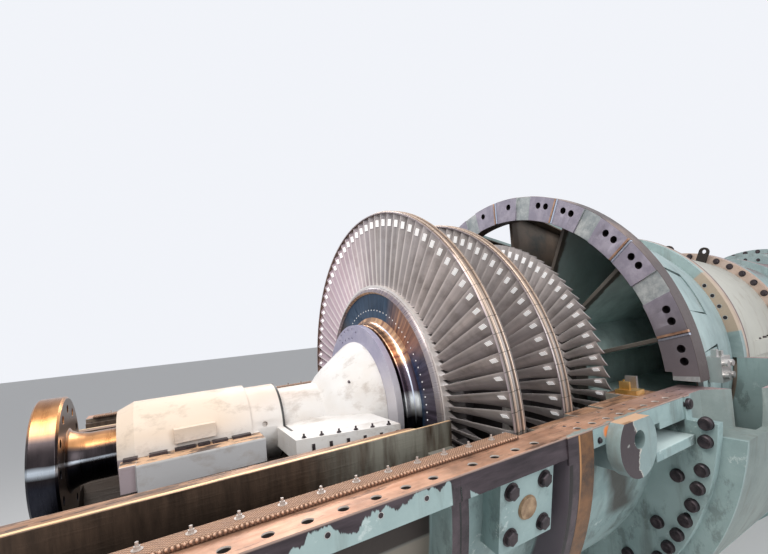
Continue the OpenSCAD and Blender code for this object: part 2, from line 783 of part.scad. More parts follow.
// Front bearing housing on the inlet hub.
module inlet_bearing() {
    bore = front_journal_r + bearing_gap;
    color(white_paint) placed()
        lathe([[inlet_end_x - 300, bore], [inlet_end_x + 300, bore],
               [inlet_end_x + 300, inlet_bearing_r - 50], [inlet_end_x + 40, inlet_bearing_r],
               [inlet_end_x + 40, inlet_hub_r + 60], [inlet_end_x + seat_gap, inlet_hub_r + 60],
               [inlet_end_x + seat_gap, inlet_bearing_r],
               [inlet_end_x - 300, inlet_bearing_r - 50]]);
}

// Lifting eyes on the crown of the discharge casing.
module lifting_eyes() {
    color(steel) placed()
        for (x = [flange_b_x - 210, flange_b_x - 1300], a = [-22, 22])
            rotate([a, 0, 0])
                difference() {
                    union() {
                        block([x - 20, -70, discharge_b_r - 50], [x + 20, 70, flange_b_r + 50]);
                        translate([x - 20, 0, flange_b_r + 50])
                            rotate([0, 90, 0])
                                cylinder(r = 70, h = 40);
                    }
                    translate([x - 30, 0, flange_b_r + 55])
                        rotate([0, 90, 0])
                            cylinder(r = 32, h = 60);
                    lathe([[wrapper_end_x + 75, 0], [wrapper_end_x + 75, discharge_a_r + seat_gap],
                           [flange_b_x - seat_gap - 90, discharge_b_r + seat_gap],
                           [flange_b_x, 0]]);
                }
}

// A foot plate with anchor holes, centred on the point given and resting on the floor.
module foot(x, y, l, w) {
    difference() {
        block([x - l / 2, y - w / 2, -axis_height], [x + l / 2, y + w / 2, -axis_height + foot_t]);
        for (sx = [-1, 1], sy = [-1, 1])
            translate([x + sx * (l / 2 - 60), y + sy * (w / 2 - 60), -axis_height - 5])
                cylinder(r = anchor_hole_r, h = foot_t + 10);
    }
}

// Legs that carry the exhaust frame and the exhaust casing from below.
module exhaust_legs() {
    color(teal) placed()
        for (x = [exhaust_x + 350, frame_x - 300], s = [-1, 1]) {
            difference() {
                union() {
                    block([x - leg_t / 2, s * leg_y - 160, -axis_height + foot_t - 1],
                          [x + leg_t / 2, s * leg_y + 160, -600]);
                    block([x - 190, s * leg_y - 20, -axis_height + foot_t - 1],
                          [x + 190, s * leg_y + 20, -600]);
                }
                rod_x(x - 300, x + 300, casing_outer_r + seat_gap);
            }
            foot(x, s * leg_y, leg_foot_l, foot_w);
        }
}

// Upright plate under the compressor casing, which bends as the machine grows when hot.
module compressor_support() {
    x = comp_ring_x;
    plate_y = comp_leg_y + 280;
    color(teal) placed() {
        difference() {
            block([x - 40, -plate_y, -axis_height + foot_t - 1],
                  [x + 40, plate_y, 530 - comp_casing_r]);
            rod_x(x - 60, x + 60, comp_casing_r + comp_ring_h + seat_gap);
        }
        for (s = [-1, 1])
            foot(x, s * comp_leg_y, leg_foot_l, foot_w);
    }
}

// Legs under the inlet casing and under the wrapper casing's ring flange.
module inlet_supports() {
    x = inlet_end_x - 30;
    color(teal) placed()
        for (s = [-1, 1]) {
            difference() {
                block([x - 30, s * inlet_leg_y - 140, -axis_height + foot_t - 1],
                      [x + 30, s * inlet_leg_y + 140, 1000 - inlet_r]);
                rod_x(x - 100, x + 100, inlet_r + seat_gap);
            }
            foot(x, s * inlet_leg_y, leg_foot_l, foot_w);
        }
}

// Coupling flange at the exhaust end, drilled for its bolts and recessed at the centre.
module rear_coupling() {
    color(polished) placed() difference() {
        lathe([[coupling_x, 0], [coupling_x, coupling_r - 12], [coupling_x + 12, coupling_r],
               [coupling_x + coupling_t - 12, coupling_r], [coupling_x + coupling_t, coupling_r - 12],
               [coupling_x + coupling_t, 0]]);
        flange_holes(coupling_holes, 0, 360 / coupling_holes, coupling_pcd_r, coupling_hole_r,
                     coupling_x - 5, coupling_x + coupling_t + 5);
        rod_x(coupling_x - 5, coupling_x + 25, 90);
    }
}

// Shaft from the coupling through the bearing tunnel and the cone to the drum.
module rear_shaft() {
    x0 = coupling_x + coupling_t;
    color(polished) placed()
        lathe([[x0, 0], [x0, journal_r + 50], [x0 + 10, journal_r + 30], [x0 + 45, journal_r + 12],
               [x0 + 100, journal_r], [drum_x, journal_r], [drum_x, 0]]);
}

// Polished drum next to the last wheel, which it meets in a wide fillet.
module rear_drum() {
    x_mid = wheel_face_x - drum_fillet_r;
    fillet = [for (a = [0 : 9 : 81])
        [x_mid + drum_fillet_r * sin(a), drum_r + drum_fillet_r * (1 - cos(a))]];
    top_r = drum_r + drum_fillet_r * (1 - cos(81));
    color(polished) placed()
        lathe(concat([[drum_x, 0], [drum_x, drum_r - 6], [drum_x + 6, drum_r]], fillet,
                     [[wheel_face_x, top_r], [wheel_face_x, 0]]));
}

// A prism along X with one flat to a blade, the flats at radius r.
module flat_sided(x0, w, r) {
    translate([x0, 0, 0])
        rotate([0, 90, 0])
            linear_extrude(height = w)
                polygon([for (i = [0 : blade_count - 1])
                    let (a = 180 + (i + 0.5) * pitch_a)
                    r / cos(pitch_a / 2) * [cos(a), sin(a)]]);
}

// Ring of flat platforms, one to a blade, from radius r0 out to the flats at radius r1.
module platforms(x0, w, r0, r1) {
    difference() {
        flat_sided(x0, w, r1);
        rod_x(x0 - 1, x0 + w + 1, r0);
    }
}

// Last wheel: web, rim and platforms, with the ring of balance holes in its bright face.
module wheel_3() {
    color(steel) placed() {
        difference() {
            lathe([[wheel_face_x, 0], [wheel_face_x, last_root_r - 80],
                   [wheel_face_x - 28, last_root_r - 61], [platform_x - 5, last_root_r - 22],
                   [last_platform_w - 30, last_root_r - 22], [last_platform_w - 30, 700],
                   [mid_row_x + platform_x, 700], [mid_row_x + platform_x, 0]]);
            flange_holes(12, -66, 12, balance_pcd_r, balance_hole_r, wheel_face_x - 5,
                         wheel_face_x + 25);
        }
        platforms(platform_x, last_platform_w, last_root_r - 32, last_root_r);
    }
}

// Middle wheel with its spacer towards the first wheel.
module wheel_2() {
    x0 = mid_row_x + platform_x;
    color(steel) placed() {
        lathe([[x0, 0], [x0, mid_root_r - 22], [x0 + mid_platform_w, mid_root_r - 22],
               [x0 + mid_platform_w, 700], [first_row_x + platform_x, 700],
               [first_row_x + platform_x, 0]]);
        platforms(x0, mid_platform_w, mid_root_r - 32, mid_root_r);
    }
}

// First wheel, which ends in the flange of the forward shaft.
module wheel_1() {
    x0 = first_row_x + platform_x;
    color(steel) placed() {
        lathe([[x0, 0], [x0, first_root_r - 22], [x0 + first_platform_w, first_root_r - 22],
               [x0 + first_platform_w, 560], [wrapper_x + 40, 520], [wrapper_x + 40, 0]]);
        platforms(x0, first_platform_w, first_root_r - 32, first_root_r);
    }
}

// Six points of a blade section: trailing edge, suction side, leading edge, pressure side.
function section(chord, thick, camber) = [
    [0, 0], [0.35 * chord, camber + 0.45 * thick], [0.8 * chord, 0.75 * camber + 0.6 * thick],
    [chord, 0], [0.75 * chord, 0.75 * camber - 0.4 * thick], [0.35 * chord, camber - 0.5 * thick]];

// The section turned by its stagger angle and centred on the blade's stacking line.
function placed_section(chord, thick, camber, stagger, x0, r) = [
    for (p = section(chord, thick, camber))
        let (u = p[0] - chord / 2, v = p[1] - camber / 2)
        [x0 + u * cos(stagger) - v * sin(stagger), -u * sin(stagger) - v * cos(stagger), r]];

// One twisted blade, lofted through sections at its root, its middle and its tip. The root covers
// its platform, and the tip's chord follows from the blade pitch, so that the tips overlap.
module blade(x_edge, platform_w, root_r, tip_r) {
    axial = platform_w - 40;
    pitch_tip = 2 * tip_r * tan(pitch_a / 2);
    chord_root = axial / cos(root_stagger);
    chord_tip = tip_cover * pitch_tip / sin(tip_stagger);
    tip_z = tip_r - seat_gap - max(0, tip_cover - 1) * pitch_tip / 2 * sin(pitch_a);
    mid_stagger = (root_stagger + tip_stagger) / 2;
    xm = x_edge + axial / 2;
    xt = x_edge + chord_tip * cos(tip_stagger) / 2 + 6;
    rows = [placed_section(chord_root, 26, 24, root_stagger, xm, root_r + seat_gap),
            placed_section((chord_root + chord_tip) / 2, 17, 18, mid_stagger, (xm + xt) / 2,
                           (root_r + tip_r) / 2),
            placed_section(chord_tip, 9, 8, tip_stagger, xt, tip_z)];
    n = 6;
    pts = concat(rows[0], rows[1], rows[2]);
    sides = [for (k = [0 : 1], i = [0 : n - 1], t = [0 : 1])
        let (a = k * n + i, b = k * n + (i + 1) % n)
        t == 0 ? [b, a, b + n] : [b + n, a, a + n]];
    caps = concat([for (i = [1 : n - 2]) [0, i, i + 1]],
                  [for (i = [1 : n - 2]) [2 * n, 2 * n + i + 1, 2 * n + i]]);
    polyhedron(points = pts, faces = concat(sides, caps));
}

// A full row of blades, one on every platform.
module blade_row(x_edge, platform_w, root_r, tip_r) {
    round_axis(blade_count, 0, pitch_a)
        blade(x_edge, platform_w, root_r, tip_r);
}

// Last row of blades.
module blades_3() {
    color(blade_steel) placed() blade_row(0, last_platform_w, last_root_r, last_tip_r);
}

// Middle row of blades.
module blades_2() {
    color(blade_steel) placed() blade_row(mid_row_x, mid_platform_w, mid_root_r, mid_tip_r);
}

// First row of blades, with bare tips.
module blades_1() {
    color(blade_steel) placed() blade_row(first_row_x, first_platform_w, first_root_r, first_tip_r);
}

// Shroud band with two seal fins, flat over every blade tip.
module shroud(x0, tip_r) {
    top = tip_r + shroud_t;
    difference() {
        lathe($fn = 720, pts = [[x0, tip_r - 30], [x0 + shroud_w, tip_r - 30], [x0 + shroud_w, top - 3],
               [x0 + 76, top], [x0 + 74, top + fin_h], [x0 + 66, top + fin_h], [x0 + 64, top],
               [x0 + 32, top], [x0 + 30, top + fin_h], [x0 + 22, top + fin_h], [x0 + 20, top],
               [x0, top - 3]]);
        flat_sided(x0 - 1, shroud_w + 2, tip_r);
    }
}

// Shroud band of the last row.
module shroud_3() {
    color(copper) placed() shroud(0, last_tip_r);
}

// Shroud band of the middle row.
module shroud_2() {
    color(copper) placed() shroud(mid_row_x, mid_tip_r);
}

// Shaft between the first wheel and the compressor drum, inside the inner barrel.
module forward_shaft() {
    color(steel) placed() rod_x(wrapper_x + 40, wrapper_end_x + 40, mid_shaft_r);
}

// Compressor drum inside the closed casings.
module compressor_drum() {
    color(steel) placed()
        lathe([[wrapper_end_x + 40, 0], [wrapper_end_x + 40, comp_drum_r - 60],
               [wrapper_end_x + 100, comp_drum_r], [flange_c_x - 40, comp_drum_r - 60],
               [flange_c_x - 40, 500], [flange_c_x + 120, 400], [flange_c_x + 120, 0]]);
}

// Stub shaft and coupling flange at the compressor end.
module front_coupling() {
    x1 = front_coupling_x;
    color(polished) placed() difference() {
        lathe([[flange_c_x + 120, 0], [flange_c_x + 120, front_journal_r], [x1 - 140, front_journal_r],
               [x1 - 140, front_coupling_r], [x1, front_coupling_r], [x1, 0]]);
        flange_holes(coupling_holes, 0, 360 / coupling_holes, front_pcd_r, coupling_hole_r, x1 - 150,
                     x1 + 5);
    }
}

exhaust_casing();
exhaust_frame();
diffuser_outer();
diffuser_inner();
diffuser_struts();
insulation_strips();
strut_covers();
bearing_pedestal();
bearing_tunnel();
tunnel_side_boxes();
bearing_cone();
cone_joint_flange();
cone_front_ring();
turbine_shell();
lifting_lugs();
shell_ledges();
stator_rings();
wrapper_casing();
support_ring();
discharge_frame();
frame_webs();
inner_barrel();
discharge_casing();
compressor_casing();
inlet_casing();
inlet_struts();
inlet_bearing();
lifting_eyes();
exhaust_legs();
compressor_support();
inlet_supports();
rear_coupling();
rear_shaft();
rear_drum();
wheel_3();
wheel_2();
wheel_1();
blades_3();
blades_2();
blades_1();
shroud_3();
shroud_2();
forward_shaft();
compressor_drum();
front_coupling();
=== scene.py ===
import json
import math

import bmesh
import bpy
from mathutils import Matrix, Vector


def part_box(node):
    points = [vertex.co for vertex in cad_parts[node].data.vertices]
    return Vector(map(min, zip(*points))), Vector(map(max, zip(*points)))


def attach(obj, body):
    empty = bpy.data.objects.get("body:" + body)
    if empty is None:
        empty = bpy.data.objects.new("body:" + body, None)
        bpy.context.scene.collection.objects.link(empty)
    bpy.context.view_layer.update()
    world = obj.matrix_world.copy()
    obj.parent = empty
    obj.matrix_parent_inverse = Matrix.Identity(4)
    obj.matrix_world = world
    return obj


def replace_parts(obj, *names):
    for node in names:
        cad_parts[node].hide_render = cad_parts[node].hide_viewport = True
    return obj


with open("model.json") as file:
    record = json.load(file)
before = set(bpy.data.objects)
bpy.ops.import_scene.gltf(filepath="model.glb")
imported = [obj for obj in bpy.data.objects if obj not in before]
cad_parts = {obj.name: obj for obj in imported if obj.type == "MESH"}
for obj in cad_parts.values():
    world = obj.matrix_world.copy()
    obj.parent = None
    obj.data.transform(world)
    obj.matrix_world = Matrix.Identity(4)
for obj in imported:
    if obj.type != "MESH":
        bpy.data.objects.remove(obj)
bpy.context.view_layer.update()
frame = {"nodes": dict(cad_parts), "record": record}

# Viewpoint: beside the exhaust end, a little above the joint of the casings, looking along the
# rotor towards the compressor. Places are given from the last blade row's edge, on the rotor axis.
EDGE_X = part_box("shroud_3")[0][0]
AXIS_Z = (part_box("rear_coupling")[0][2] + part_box("rear_coupling")[1][2]) / 2


def at(x, y, z):
    """The point x metres from the last blade row's edge, y and z from the rotor axis."""
    return Vector((EDGE_X + x, y, AXIS_Z + z))


def turned(degrees, axis="X"):
    """A turn about an axis through the origin."""
    return Matrix.Rotation(math.radians(degrees), 4, axis)


CAMERA_PLACE = at(-1.7476, -3.469, 0.7303)
CAMERA_YAW = 32.34
CAMERA_PITCH = 1.46
CAMERA_ROLL = -4.85
PICTURE = (768, 554)
FOCAL_PIXELS = 409.854
PRINCIPAL_POINT = (412.65, 307.05)
scene = bpy.context.scene
camera_data = bpy.data.cameras.new("viewpoint")
camera_data.sensor_width = 36
camera_data.lens = camera_data.sensor_width * FOCAL_PIXELS / PICTURE[0]
camera_data.shift_x = (PICTURE[0] / 2 - PRINCIPAL_POINT[0]) / PICTURE[0]
camera_data.shift_y = (PRINCIPAL_POINT[1] - PICTURE[1] / 2) / PICTURE[0]
camera_data.clip_end = 200
camera = bpy.data.objects.new("viewpoint", camera_data)
turn = turned(-CAMERA_YAW, "Z") @ turned(90 + CAMERA_PITCH) @ turned(CAMERA_ROLL, "Z")
camera.matrix_world = Matrix.Translation(CAMERA_PLACE) @ turn
scene.collection.objects.link(camera)
scene.camera = camera
scene.view_settings.view_transform = "Standard"

# Lower casings: cast and welded halves in pale blue-green paint, with machined joint faces. The
# halves are bolted at ring flanges, and their open joint faces carry through holes. Places on them
# are in metres from the last blade row's edge and from the rotor axis.
BODY_OF = {node: body for body, nodes in frame["record"]["behaviour"]["bodies"].items()
           for node in nodes}
BORE_RADIUS = 1.752
FLANGE_DEPTH = 0.158
EXHAUST_RINGS = (-0.668, -0.564)
SHELL_RINGS = (0.133, 0.362)
SHELL_SEAM = 0.225


class Value:
    """A number or colour that comes out of a shader node, so that sums read as sums."""

    def __init__(self, finish, socket):
        self.finish = finish
        self.socket = socket

    def maths(self, operation, *others, clamp=False):
        values = dict(enumerate((self,) + others))
        return self.finish.add("ShaderNodeMath", values, operation=operation, use_clamp=clamp)

    def __add__(self, other):
        return self.maths("ADD", other)

    __radd__ = __add__

    def __sub__(self, other):
        return self.maths("SUBTRACT", other)

    def __rsub__(self, other):
        return self.maths("MULTIPLY_ADD", -1.0, other)

    def __mul__(self, other):
        return self.maths("MULTIPLY", other)

    def __truediv__(self, other):
        return self.maths("DIVIDE", other)

    def __neg__(self):
        return self.maths("MULTIPLY", -1.0)

    def __abs__(self):
        return self.maths("ABSOLUTE")

    def above(self, edge, soft):
        """0 below the edge and 1 above it, over a strip that is soft wide."""
        return self.maths("MULTIPLY_ADD", 1 / soft, 0.5 - edge / soft, clamp=True)

    def below(self, edge, soft):
        """1 below the edge and 0 above it."""
        return self.maths("MULTIPLY_ADD", -1 / soft, 0.5 + edge / soft, clamp=True)

    def between(self, low, high, soft):
        """1 from low to high."""
        return self.above(low, soft) * self.below(high, soft)

    def tint(self, colour, share):
        """This colour with a share of another laid over it."""
        return mix(self, colour, share)

    def either(self, other):
        """The larger of two shares."""
        return self.maths("MAXIMUM", other)

    def repeat(self, length):
        """The place within one step of a pattern, from 0 to the step's length."""
        return self.maths("FLOORED_MODULO", length)


class Finish:
    """A procedural material. The rotor axis and the last blade row's edge are its zero."""

    def __init__(self, name, slot, **fixed):
        self.slot = slot
        self.material = bpy.data.materials.new(name)
        self.material.use_nodes = True
        self.tree = self.material.node_tree
        self.shader = self.tree.nodes["Principled BSDF"]
        for key, value in fixed.items():
            self.shader.inputs[key.replace("_", " ").title()].default_value = value
        coordinates = self.tree.nodes.new("ShaderNodeTexCoord")
        self.coordinates = Value(self, coordinates.outputs["Object"])
        split = {"Vector": self.coordinates}
        self.x = self.add("ShaderNodeSeparateXYZ", split, 0) - EDGE_X
        self.y = self.add("ShaderNodeSeparateXYZ", split, 1)
        self.z = self.add("ShaderNodeSeparateXYZ", split, 2) - AXIS_Z
        facing = {"Vector": Value(self, coordinates.outputs["Normal"])}
        self.facing_x = self.add("ShaderNodeSeparateXYZ", facing, 0)
        self.facing_up = self.add("ShaderNodeSeparateXYZ", facing, 2)
        self.radius = (self.y * self.y + self.z * self.z).maths("SQRT")
        self.angle = (-self.y).maths("ARCTAN2", self.z) * (180 / math.pi)

    def plug(self, socket, value):
        """Sets a socket to a number or a colour, or links a value to it."""
        if isinstance(value, Value):
            self.tree.links.new(value.socket, socket)
        elif isinstance(value, tuple) and len(value) == 3 and socket.type == "RGBA":
            socket.default_value = value + (1.0,)
        else:
            socket.default_value = value

    def add(self, kind, sockets, out=0, **settings):
        """A new node with its sockets plugged, as the value of one of its outputs."""
        node = self.tree.nodes.new(kind)
        for key, value in settings.items():
            setattr(node, key, value)
        for key, value in sockets.items():
            self.plug(node.inputs[key], value)
        return Value(self, node.outputs[out])

    def noise(self, scale, detail=4.0, stretch=(1, 1, 1), rough=0.55, vector=None):
        """Cloudy noise from 0 to 1, squeezed along the axes that stretch makes large."""
        sockets = {0: vector or self.coordinates, 1: stretch}
        place = self.add("ShaderNodeVectorMath", sockets, operation="MULTIPLY")
        sockets = {"Vector": place, "Scale": scale, "Detail": detail, "Roughness": rough}
        return self.add("ShaderNodeTexNoise", sockets)

    def polar(self):
        """Coordinates for a pattern that runs round the rotor: along, outwards, around."""
        around = self.angle * (math.pi / 180)
        return self.add("ShaderNodeCombineXYZ", {0: self.x, 1: self.radius, 2: around})

    def dice(self, value):
        """A random number for each whole number that the value passes."""
        return self.add("ShaderNodeTexWhiteNoise", {"W": value.maths("FLOOR")},
                        noise_dimensions="1D")

    def colour(self, value):
        self.plug(self.shader.inputs["Base Color"], value)

    def roughness(self, value):
        self.plug(self.shader.inputs["Roughness"], value)

    def metal(self, value):
        self.plug(self.shader.inputs["Metallic"], value)

    def bump(self, height, strength, distance=0.002):
        sockets = {"Height": height, "Strength": strength, "Distance": distance}
        self.plug(self.shader.inputs["Normal"], self.add("ShaderNodeBump", sockets))


def mix(a, b, share):
    """The first colour where the share is 0, and the second where it is 1."""
    sockets = {0: share, 6: a, 7: b}
    return share.finish.add("ShaderNodeMix", sockets, 2, data_type="RGBA")


def keep(bm, name, finish, body="casing", sharp=32):
    """Turns a bmesh into a finished piece that moves with a body."""
    mesh = bpy.data.meshes.new(name)
    bm.to_mesh(mesh)
    bm.free()
    mesh.shade_smooth()
    mesh.set_sharp_from_angle(angle=math.radians(sharp))
    mesh.materials.append(finish.material)
    piece = bpy.data.objects.new(name, mesh)
    scene.collection.objects.link(piece)
    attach(piece, body)
    return piece


def dressed(node, finish, edge=0.0):
    """The CAD solid itself, with its facets merged, its curves smooth and its edges broken."""
    bm = bmesh.new()
    bm.from_mesh(frame["nodes"][node].data)
    bmesh.ops.remove_doubles(bm, verts=bm.verts, dist=0.00002)
    bmesh.ops.dissolve_limit(bm, angle_limit=math.radians(0.3), verts=bm.verts, edges=bm.edges)
    piece = keep(bm, node + "_piece", finish, BODY_OF[node])
    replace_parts(piece, node)
    if edge:
        bevel = piece.modifiers.new("edges", "BEVEL")
        bevel.width = edge
        bevel.segments = 2
        bevel.limit_method = "ANGLE"
        bevel.angle_limit = math.radians(35)
    return piece


def paint_on(finish, light, dark, dirt):
    """Hand-brushed paint: patchy tone, runs of dirt down the walls and small chips."""
    patches = finish.noise(0.9, 6, rough=0.62).above(0.5, 0.34)
    fine = finish.noise(9, 8, rough=0.7).above(0.55, 0.22)
    runs = finish.noise(4.2, 5, stretch=(1.6, 1.6, 0.22), rough=0.6).above(0.62, 0.16)
    paint = mix(dark, light, patches).tint(light, fine * 0.35).tint(dirt, runs * 0.4)
    chips = finish.noise(26, 6, rough=0.75).above(0.71, 0.03)
    return mix(paint, tuple(c * 0.35 for c in dirt), chips * 0.8)


def weathered_paint(finish):
    """Pale blue-green paint: dark patches low down, beige far end, painted shadows, painted light on
    ledges.
    """
    x = finish.x
    z = finish.z
    out = abs(finish.y)
    paint = paint_on(finish, (0.37, 0.48, 0.47), (0.2, 0.285, 0.285), (0.07, 0.058, 0.042))
    # Dark patches, more of them towards the bottom.
    low_dark_patches = finish.noise(2.3, 8, stretch=(1.2, 1.2, 0.7), rough=0.74).above(0.57, 0.06)
    paint = paint.tint((0.055, 0.06, 0.05), low_dark_patches * z.below(-0.2, 0.3) * 0.42)
    rubbed = finish.noise(5.5, 8, rough=0.76).above(0.63, 0.04)
    paint = paint.tint((0.56, 0.64, 0.62), rubbed * 0.7)
    beige = paint_on(finish, (0.22, 0.25, 0.23), (0.11, 0.14, 0.13), (0.09, 0.07, 0.05))
    far_end = x.between(1.55, 3.7, 0.05) * out.above(1.9, 0.02)
    paint = paint.tint(beige, far_end * 0.85)
    stain = finish.noise(1.6, 5, stretch=(1, 1, 0.5)) * 0.5
    # Painted shadow under the lifting lug, its edge roughened by the noise above.
    lug_shadow = (abs(x - 0.95 + (z + 0.5) * 0.55) + stain - 0.25).below(0.17, 0.12)
    lug_shadow = lug_shadow * z.between(-0.86, -0.27, 0.1) * out.below(1.94, 0.02)
    paint = paint.tint((0.045, 0.03, 0.022), lug_shadow * 0.85)
    exhaust = x.below(-0.68, 0.01)
    grey = mix((0.3, 0.27, 0.22), (0.13, 0.105, 0.085), stain * 2.0)
    paint = paint.tint(grey, exhaust * z.below(-0.3, 0.06))
    # Painted shadow in a band under the exhaust casing's joint flange.
    paint = paint.tint((0.03, 0.02, 0.016), exhaust * z.between(-0.32, -0.155, 0.02))
    # Painted light on the upward-facing tops of the shell ledges.
    ledge_light = x.between(0.75, 1.44, 0.01) * z.between(-0.55, -0.25, 0.01) * out.above(1.5, 0.01)
    paint = paint.tint((0.62, 0.74, 0.73), ledge_light * finish.facing_up.above(0.85, 0.1) * 0.8)
    shade = z.between(-0.24, -0.14, 0.05) * x.between(0.4, 1.52, 0.03) * out.below(1.955, 0.01)
    paint = paint.tint((0.03, 0.026, 0.024), shade * 0.75)
    ragged = finish.noise(3.4, 7, stretch=(1, 1, 1.8), rough=0.72) * 0.06
    spot = ((x - 0.515) * (x - 0.515) + (z + 0.045) * (z + 0.045)).maths("SQRT") + ragged
    return mix(paint, (0.8, 0.24, 0.06), spot.below(0.065, 0.02) * out.above(1.93, 0.01))


def bore_primer(finish):
    """Brown primer in the bore, with grey-green runs near the blades, and where it shows."""
    inside = finish.radius.below(BORE_RADIUS, 0.006) * finish.z.below(-0.004, 0.004)
    inside = inside * finish.x.below(1.8, 0.02)
    streaks = finish.noise(7, 5, stretch=(3, 3, 0.25)).above(0.5, 0.3)
    bore = mix((0.075, 0.047, 0.03), (0.16, 0.115, 0.08), streaks)
    bore = bore.tint((0.34, 0.33, 0.27), finish.x.above(-0.5, 0.5) * streaks)
    return bore, inside


def flange_side(finish):
    """Bare side of the joint flange, below runs of paint, its bright upper edge and a painted
    highlight low down.
    """
    x = finish.x
    z = finish.z
    out = abs(finish.y)
    drips = finish.noise(5.0, 6, stretch=(1.3, 1, 0.18), rough=0.6) * 0.34 - 0.06
    side = (z - x.below(-0.55, 0.2) * drips).above(-FLANGE_DEPTH, 0.006) * out.above(1.95, 0.004)
    side = side * x.below(0.22, 0.01) * z.below(0.01, 0.01)
    edge = out.above(1.92, 0.01) * z.above(-0.01, 0.006) * x.below(1.52, 0.01)
    grain = finish.noise(30, 3, stretch=(0.15, 1, 1)).above(0.5, 0.5)
    bare = mix((0.026, 0.02, 0.024), (0.09, 0.068, 0.078), grain)
    bare = bare.tint((0.42, 0.3, 0.25), z.above(-0.008, 0.006))
    # A painted highlight along the lower edge of the flange's side.
    line = z.between(-0.153, -0.149, 0.002) * x.between(-0.55, 0.1, 0.02)
    return mix(bare, (0.62, 0.6, 0.58), line), side, edge


def ring_flanges(finish):
    """Dark rims of the casings' ring flanges, the last one rusty, with black seams, painted light
    and a painted shadow.
    """
    x = finish.x
    first = x.between(*EXHAUST_RINGS, 0.004)
    second = x.between(*SHELL_RINGS, 0.004)
    rust = finish.noise(5, 7, rough=0.7).above(0.5, 0.25)
    mauve = mix((0.028, 0.022, 0.026), (0.095, 0.07, 0.08), rust)
    brown = mix((0.055, 0.034, 0.024), (0.22, 0.105, 0.045), rust)
    rim = mix(mauve, brown, x.above(SHELL_SEAM, 0.004))
    # Painted orange light on the upper part of the last ring's lip.
    lip = finish.z.above(-0.35, 0.3) * x.between(0.223, 0.242, 0.006)
    rim = rim.tint((0.5, 0.25, 0.1), lip)
    seam = x.between(-0.621, -0.611, 0.002).either(x.between(0.222, 0.228, 0.002))
    rim = rim.tint((0.012, 0.01, 0.01), seam)
    # A painted shadow strip across the front of the second ring pair.
    rim = rim.tint((0.02, 0.017, 0.017), x.between(0.13, 0.168, 0.008))
    face = abs(finish.facing_x).above(0.6, 0.3)
    rings = first.either(second) * finish.radius.above(1.8, 0.02) * (1 - face * first)
    return mix(rim, (0.155, 0.125, 0.145), face), rings


def joint_top(finish):
    """Machined top of the joint: brushed, blotched and worn, with strayed paint on its edge."""
    x = finish.x
    top = finish.facing_up.above(0.8, 0.2) * finish.z.above(-0.006, 0.004)
    brushed = finish.noise(16, 4, stretch=(0.22, 2.0, 1)).above(0.5, 0.6)
    blotch = finish.noise(2.6, 6, rough=0.65).above(0.53, 0.22)
    worn = finish.noise(8, 7, stretch=(0.5, 2.4, 1), rough=0.75).above(0.6, 0.06)
    metal = mix((0.52, 0.25, 0.145), (0.74, 0.46, 0.32), brushed)
    metal = metal.tint((0.2, 0.115, 0.08), blotch * 0.7)
    metal = metal.tint((0.36, 0.26, 0.27), x.above(1.3, 0.9) * 0.9)
    metal = metal.tint((0.07, 0.045, 0.035), worn * 0.7)
    strayed = finish.noise(4.5, 8, rough=0.75) + x.between(0.3, 0.95, 0.3) * 0.1
    strayed = (strayed * abs(finish.y).above(1.86, 0.2)).above(0.56, 0.03)
    return mix(metal, (0.36, 0.42, 0.39), strayed * x.above(0.1, 0.1)), top, brushed


def bolt_holes(finish):
    """Walls of the joint's bolt holes, a painted highlight at the lip and painted shade below, and
    where they show.
    """
    hole = abs(finish.y).between(1.8745, 1.9255, 0.001) * finish.z.between(-0.12, -0.0005, 0.001)
    hole = hole * (1 - abs(finish.facing_up).above(0.3, 0.1))
    # Painted highlight at the hole's lip; the walls below get painted shade.
    lip = finish.z.above(-0.0065, 0.002)
    return mix((0.035, 0.025, 0.022), (0.66, 0.58, 0.52), lip), hole


def casing_finish(name, slot):
    """Paint outside, bare machined faces on the joint, primer inside."""
    finish = Finish(name, slot)
    bore, inside = bore_primer(finish)
    ring, rings = ring_flanges(finish)
    bare, side, edge = flange_side(finish)
    machined, top, brushed = joint_top(finish)
    well, hole = bolt_holes(finish)
    colour = mix(weathered_paint(finish), bore, inside).tint(ring, rings * (1 - inside))
    colour = colour.tint(bare, side.either(edge)).tint(machined, top)
    finish.colour(mix(colour, well, hole))
    metal = top.either(side).either(rings * 0.6)
    finish.metal(metal * 0.5)
    fine = finish.noise(22, 6, rough=0.7)
    finish.roughness(0.5 - metal * 0.12 + fine * 0.12)
    finish.bump(fine + brushed * top * 0.4, 0.35, 0.004)
    return finish


casing_lower = casing_finish("lower casing", "casing_lower")
for node in ("exhaust_casing", "exhaust_frame", "turbine_shell", "wrapper_casing"):
    dressed(node, casing_lower, 0.005)
casing_paint = casing_finish("casing paint", "casing_paint")
for node in ("strut_covers", "shell_ledges", "compressor_casing", "inlet_casing", "inlet_struts",
             "exhaust_legs", "compressor_support", "inlet_supports"):
    dressed(node, casing_paint, 0.006)


